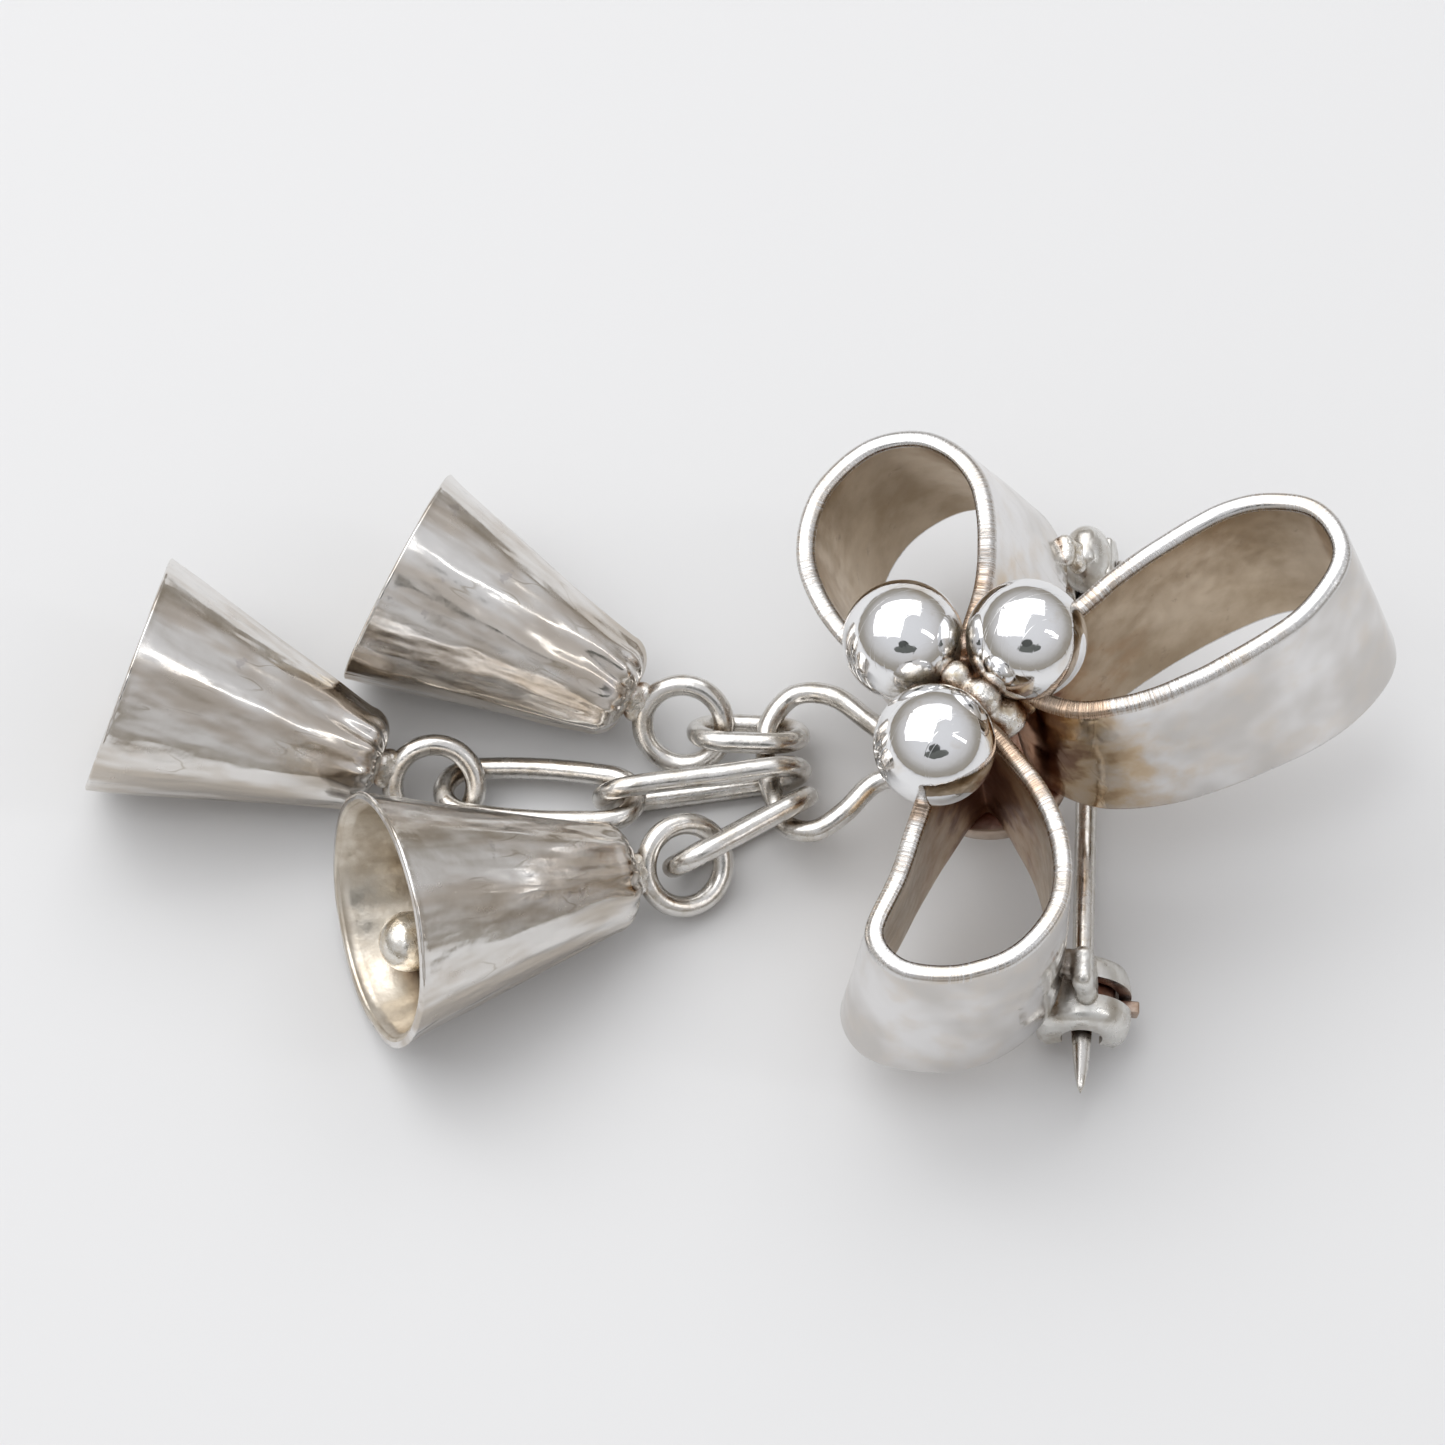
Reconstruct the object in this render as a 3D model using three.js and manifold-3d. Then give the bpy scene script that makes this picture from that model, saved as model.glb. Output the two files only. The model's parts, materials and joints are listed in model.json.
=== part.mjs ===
// A silver bow brooch with three dangling bells, lying on its back.
//
// Millimetres, +Z up. Three ribbon loops stand on a small back plate and carry three balls at the
// knot. A wire bail runs from the knot to three oval chains, and each chain ends in a cone bell
// with a clapper. A hinged pin stem and a turning catch are on the back.
//
// The parts are placed from the knot: its back point stands KNOT_HEIGHT above the surface that the
// brooch lies on, and the whole bow leans by BOW_TILT, because it rests on its catch, its hinge and
// the chain. The last lines move the assembly so that the origin is the bottom centre of its box.

import * as THREE from "three";
import { mergeVertices } from "three/addons/utils/BufferGeometryUtils.js";
import Module from "manifold-3d";

const manifold = await Module();
manifold.setup();

// ---------------------------------------------------------------- driving dimensions

const WIRE = 1.1; // diameter of the bail, the chain links and the bell loops
const RIBBON_WIDTH = 9; // from the back edge to the front edge
const RIBBON_THICKNESS = 0.9;
const BALL_DIAMETER = 5.75;
const BELL_LENGTH = 13.1;
const BELL_CROWN_RADIUS = 2.35;
const BELL_SHOULDER = 1.3; // how far the rounding of the crown reaches
const BELL_WALL = 0.6;
const PIN_DIAMETER = 1.05;

const BOW_TILT = 10; // degrees, the right side of the bow is high
const KNOT_HEIGHT = 4.75;

// ---------------------------------------------------------------- clearances and smoothness

const SOLDER_GAP = 0.3; // between a bell's crown and its loop, and its inner hook
const RUNNING_GAP = 0.07; // between the faces of the pin hinge
const BALL_SEAT_GAP = 0.25; // between a ball and the seat that is cut for it
const WIRE_SIDES = 8;
const RIBBON_POINTS = 48;
const RIBBON_LAYERS = 3;

// ---------------------------------------------------------------- the bow

// The front edge of each ribbon loop, round from the knot and back to it. Towards the back edge
// the loop turns about the knot by twist and grows by flare.
const RIBBON_LOOPS = {
  right: {
    edge: [
      [2.0, 0.7], [4.6, -1.2], [8.1, -1.1], [12.8, 0.8], [16.3, 3.2],
      [17.8, 6.0], [16.7, 8.3], [13.5, 8.9], [9.3, 7.0], [5.2, 3.9],
    ],
    twist: -6,
    flare: 1.06,
  },
  top: {
    edge: [
      [-0.9, 1.7], [-4.4, 2.2], [-6.6, 4.6], [-7.8, 8.0], [-7.0, 11.5],
      [-4.5, 13.8], [-1.6, 13.8], [0.5, 11.6], [1.0, 7.8], [0.4, 4.2],
    ].reverse(),
    twist: -15,
    flare: 1.04,
  },
  bottom: {
    edge: [
      [0.1, -1.6], [-1.8, -4.6], [-3.4, -9.2], [-4.6, -12.2], [-3.6, -13.8],
      [-1.0, -14.4], [1.8, -13.7], [3.9, -11.3], [4.0, -7.6], [2.3, -3.9],
    ],
    twist: -10,
    flare: 1.08,
  },
};

const BALL_CENTRES = {
  upper_left: [-2.9, 2.4, RIBBON_WIDTH + 1],
  upper_right: [2.95, 1.9, RIBBON_WIDTH + 1],
  lower: [-1.5, -3.35, RIBBON_WIDTH + 1.2],
};

const BACK_PLATE = { length: 7.2, width: 6.2, thickness: 1.1, gap: 0.05 };

// ---------------------------------------------------------------- the pin, its hinge and its catch

const PIN_HINGE_AT = [4.85, 12.4, -3.6]; // in the bow's own frame
const CATCH_AT = [3.7, -11.3, -2.9];
const PIN_LENGTH = 28.4;
const PIN_TAPER = 4;

const HINGE = {
  eyeRadius: 1.2,
  eyeWidth: 1.16,
  earRadius: 1.8,
  earThickness: 0.65,
  rivetRadius: 0.42,
  headRadius: 0.75,
  headHeight: 0.25,
  bridgeLow: 1.45, // the bridge between the ears, above the pin's eye
  bridgeHigh: 2.1,
  footHigh: 3.4, // the foot that is soldered to the bow
  footHalfWidth: 0.65,
  footHalfLength: 1.1,
};
const CATCH = {
  outerRadius: 2.4,
  endRadius: 1.8,
  halfLength: 1.8,
  lip: 0.4,
  lipRadius: 1.0,
  boreRadius: 1.75,
  rotorRadius: 1.6,
  rotorBore: 0.85,
  rotorGap: 0.1, // between the rotor's ends and the barrel's lips
  footHigh: 4.5,
  footHalfLength: 1.2,
  footSides: [-0.1, 1.1],
  slotFrom: 197, // degrees round the barrel, from +X towards the bow
  slotTo: 320,
  grooveFrom: -32,
  grooveTo: 70,
  grooveHalfWidth: 0.45,
  leverAngle: -16,
  leverReach: 2.75,
  leverHalfWidth: 0.33,
};

// ---------------------------------------------------------------- the bail, the chains and the bells

const BAIL_LOW_END = { x: -10.98, z: 2.0 };
const BAIL_SLOPE = 22; // degrees, rising from the chains to the knot
const BAIL_ROUTE = [
  [-2.3, 1.1], [-3.9, 1.2], [-5.8, 3.1], [-7.8, 5.05], [-9.6, 5.4], [-10.8, 4.1], [-10.95, 2.0],
  [-10.6, -0.1], [-9.95, -1.7], [-8.6, -2.2], [-7.2, -1.5], [-5.7, -0.2], [-4.0, 0.0], [-2.3, 0.0],
];
const LINK_WIDTH = 3.3; // between the centres of a link's two bars

// Each chain hooks on the bail at a share of its length. A link runs from its near end to its far
// end along heading and pitch, and roll turns its flat side up from level.
const CHAINS = {
  upper: {
    bailShare: 0.453,
    links: [{ name: "chain_link_upper", length: 6.2, heading: 177.5, pitch: 0, roll: 48 }],
    bell: { heading: 155.3, pitch: 12.8, crownAt: 3.65, loopRoll: -42, mouthRadius: 5.8 },
  },
  middle: {
    bailShare: 0.540,
    links: [
      { name: "chain_link_middle_inner", length: 11, heading: 188.5, pitch: 0, roll: 78 },
      { name: "chain_link_middle_outer", length: 10.6, heading: 175.5, pitch: -2, roll: 20 },
    ],
    bell: { heading: 164.5, pitch: 14.8, crownAt: 3.4, loopRoll: -34, mouthRadius: 6.1 },
  },
  lower: {
    bailShare: 0.620,
    links: [{ name: "chain_link_lower", length: 8.7, heading: 210.5, pitch: 0, roll: 66 }],
    bell: { heading: 198.5, pitch: 15.2, crownAt: 2.3, loopRoll: -37, mouthRadius: 6.3 },
  },
};

const BELL_LOOP_RADIUS = 2.05; // of the wire's centre line
const HOOK = { wire: 0.6, radius: 0.9, gap: 0.12 };
const CLAPPER = { reach: 10, radius: 1.5, stemRadius: 0.35, dropLength: 5.4, ringGap: 0.05, restAngle: 20 };

// ---------------------------------------------------------------- small helpers

const radians = THREE.MathUtils.degToRad;
const UP = new THREE.Vector3(0, 0, 1);

const SILVER = { color: 0xd8d5cf, roughness: 0.22, metalness: 1 };
const TARNISHED = { color: 0xb7aa95, roughness: 0.38, metalness: 1 };

function piece(name, geometry, finish = SILVER) {
  const mesh = new THREE.Mesh(geometry, new THREE.MeshStandardMaterial(finish));
  mesh.name = name;
  return mesh;
}

function solid(geometry) {
  const bare = geometry.clone();
  bare.deleteAttribute("normal");
  bare.deleteAttribute("uv");
  const merged = mergeVertices(bare, 1e-4);
  return new manifold.Manifold(
    new manifold.Mesh({
      numProp: 3,
      vertProperties: merged.attributes.position.array,
      triVerts: new Uint32Array(merged.index.array),
    }),
  );
}

function geometryOf(body) {
  const mesh = body.getMesh();
  const geometry = new THREE.BufferGeometry();
  geometry.setAttribute("position", new THREE.BufferAttribute(mesh.vertProperties, 3));
  geometry.setIndex(new THREE.BufferAttribute(mesh.triVerts, 1));
  geometry.computeVertexNormals();
  return geometry;
}

function join(...geometries) {
  return geometryOf(geometries.map(solid).reduce((whole, next) => whole.add(next)));
}

function cut(geometry, ...tools) {
  return geometryOf(tools.map(solid).reduce((whole, tool) => whole.subtract(tool), solid(geometry)));
}

// A box from its lowest to its highest corner.
function box(low, high) {
  const size = high.map((value, axis) => value - low[axis]);
  const middle = high.map((value, axis) => (value + low[axis]) / 2);
  return new THREE.BoxGeometry(...size).translate(...middle);
}

// A cylinder along X between two values of x.
function cylinderAlongX(radius, from, to, sides = 24) {
  return new THREE.CylinderGeometry(radius, radius, to - from, sides)
    .rotateZ(Math.PI / 2)
    .translate((from + to) / 2, 0, 0);
}

// A solid turned about Z from a closed profile of [radius, z] points.
function turned(profile, segments) {
  const points = profile.map(([radius, z]) => new THREE.Vector2(radius, z));
  return new THREE.LatheGeometry(points, segments).rotateX(Math.PI / 2);
}

// A wedge round Z between two angles, in degrees, from the axis out to a radius.
function wedge(from, to, radius, low, high) {
  const shape = new THREE.Shape();
  shape.moveTo(0, 0);
  shape.lineTo(radius * Math.cos(radians(from)), radius * Math.sin(radians(from)));
  shape.absarc(0, 0, radius, radians(from), radians(to), false);
  shape.closePath();
  const options = { depth: high - low, bevelEnabled: false, curveSegments: 12 };
  return new THREE.ExtrudeGeometry(shape, options).translate(0, 0, low);
}

// Round wire bent into a closed ring along a flat outline in the XZ plane.
function closedWire(outline, steps, diameter) {
  const points = outline
    .getSpacedPoints(steps)
    .slice(0, -1)
    .map((point) => new THREE.Vector3(point.x, 0, point.y));
  const route = new THREE.CatmullRomCurve3(points, true, "centripetal");
  return new THREE.TubeGeometry(route, steps, diameter / 2, WIRE_SIDES, true);
}

// Round wire with two cut ends along a curve.
function openWire(route, steps, diameter) {
  const section = new THREE.Shape().absarc(0, 0, diameter / 2, 0, 2 * Math.PI, false);
  const options = { steps, extrudePath: route, curveSegments: WIRE_SIDES, bevelEnabled: false };
  return new THREE.ExtrudeGeometry(section, options);
}

// A group at a point, with +Z along a direction, +X level and +Y up, all turned by roll about +Z.
function groupAlong(point, direction, roll = 0) {
  const group = new THREE.Group();
  const ahead = direction.clone().normalize();
  const level = new THREE.Vector3().crossVectors(UP, ahead).normalize();
  const above = new THREE.Vector3().crossVectors(ahead, level);
  group.quaternion.setFromRotationMatrix(new THREE.Matrix4().makeBasis(level, above, ahead));
  group.rotateZ(radians(roll));
  group.position.copy(point);
  return group;
}

function directionOf(heading, pitch) {
  return new THREE.Vector3(
    Math.cos(radians(pitch)) * Math.cos(radians(heading)),
    Math.cos(radians(pitch)) * Math.sin(radians(heading)),
    Math.sin(radians(pitch)),
  );
}

// ---------------------------------------------------------------- bow pieces

// The centre line of a ribbon's front edge, as evenly spaced points with their outward normals.
function edgeLine(edge) {
  const corners = edge.map(([x, y]) => new THREE.Vector3(x, y, 0));
  const line = new THREE.CatmullRomCurve3(corners, true, "centripetal");
  return Array.from({ length: RIBBON_POINTS }, (_, index) => {
    const share = index / RIBBON_POINTS;
    const tangent = line.getTangentAt(share);
    return { at: line.getPointAt(share), normal: new THREE.Vector2(tangent.y, -tangent.x) };
  });
}

function offsetOutline(line, distance) {
  return line.map(
    ({ at, normal }) => new THREE.Vector2(at.x + normal.x * distance, at.y + normal.y * distance),
  );
}

function ribbonLoop({ edge, twist, flare }) {
  const line = edgeLine(edge);
  const shape = new THREE.Shape(offsetOutline(line, RIBBON_THICKNESS / 2));
  shape.holes.push(new THREE.Path(offsetOutline(line, -RIBBON_THICKNESS / 2)));
  const options = { depth: RIBBON_WIDTH, steps: RIBBON_LAYERS, bevelEnabled: false };
  const geometry = new THREE.ExtrudeGeometry(shape, options);
  const position = geometry.attributes.position;
  const vertex = new THREE.Vector3();
  for (let index = 0; index < position.count; index += 1) {
    vertex.fromBufferAttribute(position, index);
    const towardsBack = 1 - vertex.z / RIBBON_WIDTH;
    vertex.applyAxisAngle(UP, radians(twist) * towardsBack);
    const growth = 1 + (flare - 1) * towardsBack;
    position.setXYZ(index, vertex.x * growth, vertex.y * growth, vertex.z);
  }
  return geometry;
}

function ball(centre, extraRadius = 0) {
  return new THREE.SphereGeometry(BALL_DIAMETER / 2 + extraRadius, 18, 12)
    .rotateX(Math.PI / 2)
    .translate(...centre);
}

function backPlate() {
  const { length, width, thickness, gap } = BACK_PLATE;
  const outline = new THREE.Shape().absellipse(0, 0, length / 2, width / 2, 0, 2 * Math.PI, false);
  const options = { depth: thickness, curveSegments: 20, bevelEnabled: false };
  return new THREE.ExtrudeGeometry(outline, options).translate(0, 0, -thickness - gap);
}

// ---------------------------------------------------------------- pin, hinge and catch pieces
// In the pin's frame the hinge is at the origin, +Z runs to the tip and +Y to the bow.

function pinStem() {
  const radius = PIN_DIAMETER / 2;
  const stem = turned(
    [
      [0, HINGE.eyeRadius - 0.3],
      [radius, HINGE.eyeRadius - 0.3],
      [radius, PIN_LENGTH - PIN_TAPER],
      [radius / 2, PIN_LENGTH - PIN_TAPER / 3],
      [0, PIN_LENGTH],
    ],
    12,
  );
  const eye = cylinderAlongX(HINGE.eyeRadius, -HINGE.eyeWidth / 2, HINGE.eyeWidth / 2);
  const hole = cylinderAlongX(HINGE.rivetRadius + RUNNING_GAP, -HINGE.eyeWidth, HINGE.eyeWidth, 16);
  return cut(join(stem, eye), hole);
}

function hingeBracket() {
  const { earRadius, earThickness, eyeWidth, rivetRadius, footHalfWidth, footHalfLength } = HINGE;
  const inside = eyeWidth / 2 + RUNNING_GAP;
  const outside = inside + earThickness;
  const bridge = box(
    [-outside, HINGE.bridgeLow, -footHalfLength],
    [outside, HINGE.bridgeHigh, footHalfLength],
  );
  const foot = box(
    [-footHalfWidth, earRadius, -footHalfLength],
    [footHalfWidth, HINGE.footHigh, footHalfLength],
  );
  const ears = [-outside, inside].map((from) => cylinderAlongX(earRadius, from, from + earThickness));
  const hole = cylinderAlongX(rivetRadius + RUNNING_GAP, -2 * outside, 2 * outside, 16);
  return cut(join(bridge, foot, ...ears), hole);
}

function hingeRivet() {
  const { eyeWidth, earThickness, rivetRadius, headRadius, headHeight } = HINGE;
  const shaftHalf = eyeWidth / 2 + earThickness + 2 * RUNNING_GAP;
  const intoHead = headHeight / 2;
  const shaft = cylinderAlongX(rivetRadius, -shaftHalf - intoHead, shaftHalf + intoHead, 16);
  const heads = [-shaftHalf - headHeight, shaftHalf].map((from) =>
    cylinderAlongX(headRadius, from, from + headHeight, 16),
  );
  return join(shaft, ...heads);
}

function catchBarrel() {
  const { outerRadius, endRadius, halfLength, lip, lipRadius, boreRadius } = CATCH;
  const shoulder = 0.37 * endRadius + 0.63 * outerRadius; // makes the outside round like a ball
  const shell = turned(
    [
      [lipRadius, -halfLength],
      [endRadius, -halfLength],
      [shoulder, -halfLength * 0.7],
      [outerRadius, -halfLength * 0.2],
      [outerRadius, halfLength * 0.2],
      [shoulder, halfLength * 0.7],
      [endRadius, halfLength],
      [lipRadius, halfLength],
      [lipRadius, halfLength - lip],
      [boreRadius, halfLength - lip],
      [boreRadius, lip - halfLength],
      [lipRadius, lip - halfLength],
      [lipRadius, -halfLength],
    ],
    36,
  );
  const { footHigh, footHalfLength, grooveHalfWidth } = CATCH;
  const [left, right] = CATCH.footSides;
  const footLow = (boreRadius + outerRadius) / 2;
  const foot = box([left, footLow, -footHalfLength], [right, footHigh, footHalfLength]);
  const slot = wedge(CATCH.slotFrom, CATCH.slotTo, 2 * outerRadius, -2 * halfLength, 2 * halfLength);
  const groove = wedge(
    CATCH.grooveFrom, CATCH.grooveTo, 2 * outerRadius, -grooveHalfWidth, grooveHalfWidth,
  );
  return cut(join(shell, foot), slot, groove);
}

function catchRotor() {
  const { rotorRadius, rotorBore, leverAngle, leverReach, leverHalfWidth } = CATCH;
  const half = CATCH.halfLength - CATCH.lip - CATCH.rotorGap;
  const tube = turned(
    [
      [rotorBore, -half],
      [rotorRadius, -half],
      [rotorRadius, half],
      [rotorBore, half],
      [rotorBore, -half],
    ],
    36,
  );
  const slot = wedge(CATCH.slotFrom, CATCH.slotTo, 2 * rotorRadius, -2 * half, 2 * half);
  const lever = box(
    [(rotorRadius + rotorBore) / 2, -leverHalfWidth, -leverHalfWidth],
    [leverReach, leverHalfWidth, leverHalfWidth],
  ).rotateZ(radians(leverAngle));
  return join(cut(tube, slot), lever);
}

// ---------------------------------------------------------------- bail, link and bell pieces

function bailCurve() {
  const rise = Math.tan(radians(BAIL_SLOPE));
  const points = BAIL_ROUTE.map(
    ([x, y]) => new THREE.Vector3(x, y, BAIL_LOW_END.z + (x - BAIL_LOW_END.x) * rise),
  );
  return new THREE.CatmullRomCurve3(points, false, "centripetal");
}

// In a link's frame the wire of its parent passes through the origin, where the bend of the near
// end is centred, and the far end's wire crosses +Z at farWire.
function farWire(length) {
  return length - LINK_WIDTH / 2 - WIRE;
}

function linkWire(length) {
  const bend = LINK_WIDTH / 2;
  const outline = new THREE.Path();
  outline.absarc(0, 0, bend, Math.PI, 2 * Math.PI, false);
  outline.absarc(0, farWire(length) - bend, bend, 0, Math.PI, false);
  outline.closePath();
  return closedWire(outline, Math.round(14 + length), WIRE);
}

function ringWire(radius, centre, steps, diameter) {
  const outline = new THREE.Path().absarc(0, centre, radius, 0, 2 * Math.PI, false);
  return closedWire(outline, steps, diameter);
}

// A bell's shell, with its crown's top at the origin and its mouth at +Z.
function bellShell(mouthRadius) {
  const slope = (mouthRadius - BELL_CROWN_RADIUS) / BELL_LENGTH;
  const flatRadius = BELL_CROWN_RADIUS - BELL_SHOULDER;
  const shoulderRadius = BELL_CROWN_RADIUS + slope * BELL_SHOULDER;
  const outer = new THREE.Path();
  outer.moveTo(0, 0);
  outer.lineTo(flatRadius, 0);
  outer.quadraticCurveTo(BELL_CROWN_RADIUS, 0, shoulderRadius, BELL_SHOULDER);
  outer.lineTo(mouthRadius, BELL_LENGTH);
  const inner = new THREE.Path();
  inner.moveTo(mouthRadius - BELL_WALL, BELL_LENGTH);
  inner.lineTo(shoulderRadius - BELL_WALL, BELL_SHOULDER + BELL_WALL / 2);
  inner.lineTo(flatRadius, BELL_WALL);
  inner.lineTo(0, BELL_WALL);
  const profile = [...outer.getPoints(3), ...inner.getPoints(1)];
  return turned(profile.map((point) => [point.x, point.y]), 28);
}

const HOOK_CENTRE = BELL_WALL + HOOK.gap + HOOK.radius + HOOK.wire / 2;
const CLAPPER_PIVOT = HOOK_CENTRE + HOOK.radius;

// In the clapper's frame its pivot is at the origin and the clapper hangs along +Z.
function clapper() {
  const { reach, radius, stemRadius, dropLength } = CLAPPER;
  const ringCentre = HOOK.radius - HOOK.wire - CLAPPER.ringGap;
  const ring = ringWire(HOOK.radius, ringCentre, 12, HOOK.wire).rotateZ(Math.PI / 2);
  const stemStart = ringCentre + HOOK.radius;
  const outline = new THREE.Path();
  outline.moveTo(0, stemStart);
  outline.lineTo(stemRadius, stemStart);
  outline.lineTo(stemRadius, reach - dropLength);
  outline.quadraticCurveTo(radius, reach - 2 * radius, radius, reach - radius);
  outline.absarc(0, reach - radius, radius, 0, Math.PI / 2, false);
  const drop = turned(outline.getPoints(4).map((point) => [point.x, point.y]), 14);
  return join(ring, drop);
}

// ---------------------------------------------------------------- assembly

function bow() {
  const group = new THREE.Group();
  const seats = Object.values(BALL_CENTRES).map((centre) => ball(centre, BALL_SEAT_GAP));
  for (const [side, loop] of Object.entries(RIBBON_LOOPS)) {
    group.add(piece(`bow_loop_${side}`, cut(ribbonLoop(loop), ...seats)));
  }
  for (const [place, centre] of Object.entries(BALL_CENTRES)) {
    group.add(piece(`ball_${place}`, ball(centre)));
  }
  group.add(piece("back_plate", backPlate(), TARNISHED));
  group.add(pinAndCatch());
  group.rotation.y = -radians(BOW_TILT);
  group.position.z = KNOT_HEIGHT;
  return group;
}

function pinAndCatch() {
  const hinge = new THREE.Vector3(...PIN_HINGE_AT);
  const toCatch = new THREE.Vector3(...CATCH_AT).sub(hinge);
  const group = groupAlong(hinge, toCatch);
  const catchGroup = new THREE.Group();
  catchGroup.position.z = toCatch.length();
  catchGroup.add(piece("catch_barrel", catchBarrel()), piece("catch_rotor", catchRotor(), TARNISHED));
  group.add(
    piece("pin_stem", pinStem()),
    piece("pin_hinge_bracket", hingeBracket()),
    piece("pin_hinge_rivet", hingeRivet()),
    catchGroup,
  );
  return group;
}

function bell(name, settings, hangsFrom) {
  const { pitch, heading, crownAt, loopRoll, mouthRadius } = settings;
  const group = groupAlong(hangsFrom, directionOf(heading, pitch));
  const loopCentre = crownAt - SOLDER_GAP - WIRE / 2 - BELL_LOOP_RADIUS;
  const loop = piece(`${name}_loop`, ringWire(BELL_LOOP_RADIUS, loopCentre, 20, WIRE));
  loop.rotation.z = radians(loopRoll);
  const shell = piece(`${name}_shell`, bellShell(mouthRadius));
  shell.position.z = crownAt;
  const hook = piece(`${name}_clapper_hook`, ringWire(HOOK.radius, HOOK_CENTRE, 12, HOOK.wire), TARNISHED);
  hook.position.z = crownAt;
  const tongue = piece(`${name}_clapper`, clapper(), TARNISHED);
  tongue.position.z = crownAt + CLAPPER_PIVOT;
  tongue.rotation.x = radians(CLAPPER.restAngle);
  group.add(loop, shell, hook, tongue);
  return group;
}

function chain(name, { bailShare, links, bell: bellPose }, bail) {
  const group = new THREE.Group();
  const hangsFrom = bail.getPointAt(bailShare);
  for (const link of links) {
    const direction = directionOf(link.heading, link.pitch);
    const linkGroup = groupAlong(hangsFrom, direction, link.roll);
    linkGroup.add(piece(link.name, linkWire(link.length)));
    group.add(linkGroup);
    hangsFrom.addScaledVector(direction, farWire(link.length));
  }
  group.add(bell(`${name}_bell`, bellPose, hangsFrom));
  return group;
}

const brooch = new THREE.Group();
const bail = bailCurve();
brooch.add(bow(), piece("bail", openWire(bail, 40, WIRE)));
for (const [name, settings] of Object.entries(CHAINS)) {
  brooch.add(chain(name, settings, bail));
}

brooch.updateMatrixWorld(true);
const bounds = new THREE.Box3().setFromObject(brooch, true);
const middle = bounds.getCenter(new THREE.Vector3());
brooch.position.set(-middle.x, -middle.y, -bounds.min.z);

export default brooch;
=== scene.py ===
"""A silver bow brooch with three dangling bells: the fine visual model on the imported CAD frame.

The local frames are those of the CAD part: a wire link runs along +Z from the wire it hangs on, a
bell opens towards +Z, and the bow's ribbons stand on the XY plane with their front edges up.
"""

import json
import math

import bmesh
import bpy
from mathutils import Matrix, Vector, noise


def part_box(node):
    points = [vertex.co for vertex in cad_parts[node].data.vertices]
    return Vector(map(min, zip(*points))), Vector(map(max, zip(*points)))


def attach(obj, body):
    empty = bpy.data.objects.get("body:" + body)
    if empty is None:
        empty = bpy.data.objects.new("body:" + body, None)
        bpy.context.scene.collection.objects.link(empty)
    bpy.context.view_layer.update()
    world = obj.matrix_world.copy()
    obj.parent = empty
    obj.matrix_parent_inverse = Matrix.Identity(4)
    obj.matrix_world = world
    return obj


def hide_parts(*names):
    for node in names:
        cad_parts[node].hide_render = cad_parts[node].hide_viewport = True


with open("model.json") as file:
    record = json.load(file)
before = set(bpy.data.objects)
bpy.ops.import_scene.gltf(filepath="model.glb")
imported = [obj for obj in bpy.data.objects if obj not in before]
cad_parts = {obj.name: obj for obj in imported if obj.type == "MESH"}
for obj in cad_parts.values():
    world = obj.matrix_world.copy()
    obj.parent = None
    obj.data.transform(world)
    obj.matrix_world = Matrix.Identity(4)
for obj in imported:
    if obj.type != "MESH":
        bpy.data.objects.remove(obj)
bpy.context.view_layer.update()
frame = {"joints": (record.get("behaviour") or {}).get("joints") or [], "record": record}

# ---- sizes, in millimetres

MM = 0.001
X, Y, Z = Vector((1, 0, 0)), Vector((0, 1, 0)), Vector((0, 0, 1))

WIRE = 1.1
WIRE_MEAN = 0.96  # the mean radius of the uneven wires over the CAD's
WIRE_STRAY = 0.02
LINK_WIDTH = 3.3
RIBBON_WIDTH = 9.0
RIBBON_THICKNESS = 0.9
BALL_RADIUS = 2.875

BELL_LENGTH = 13.1
BELL_CROWN_RADIUS = 2.35
BELL_SHOULDER = 1.3
BELL_WALL = 0.55
CROWN_WALL = BELL_WALL + 0.05
BELL_LOOP_RADIUS = 2.05
SOLDER_GAP = 0.3
HOOK = {"wire": 0.6, "radius": 0.9, "gap": 0.12}
CLAPPER = {"reach": 10.0, "radius": 1.5, "stem": 0.35, "drop": 5.4, "rest_angle": 20.0}
BELLS = {
    "upper": {"mouth_radius": 5.8, "loop_roll": -42.0, "seed": 11.0},
    "middle": {"mouth_radius": 6.1, "loop_roll": -34.0, "seed": 23.0},
    "lower": {"mouth_radius": 6.3, "loop_roll": -37.0, "seed": 37.0},
}

# The front edge of each ribbon loop, with its turn and growth towards the back edge.
RIBBONS = {
    "right": {
        "edge": [
            (2.0, 0.7), (4.6, -1.2), (8.1, -1.1), (12.8, 0.8), (16.3, 3.2),
            (17.8, 6.0), (16.7, 8.3), (13.5, 8.9), (9.3, 7.0), (5.2, 3.9),
        ],
        "twist": -6.0,
        "flare": 1.06,
    },
    "top": {
        "edge": [
            (0.4, 4.2), (1.0, 7.8), (0.5, 11.6), (-1.6, 13.8), (-4.5, 13.8),
            (-7.0, 11.5), (-7.8, 8.0), (-6.6, 4.6), (-4.4, 2.2), (-0.9, 1.7),
        ],
        "twist": -15.0,
        "flare": 1.04,
    },
    "bottom": {
        "edge": [
            (0.1, -1.6), (-1.8, -4.6), (-3.4, -9.2), (-4.6, -12.2), (-3.6, -13.8),
            (-1.0, -14.4), (1.8, -13.7), (3.9, -11.3), (4.0, -7.6), (2.3, -3.9),
        ],
        "twist": -10.0,
        "flare": 1.08,
    },
}
BACK_PLATE = {"length": 7.2, "width": 6.2, "thickness": 1.1, "gap": 0.05}

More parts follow.
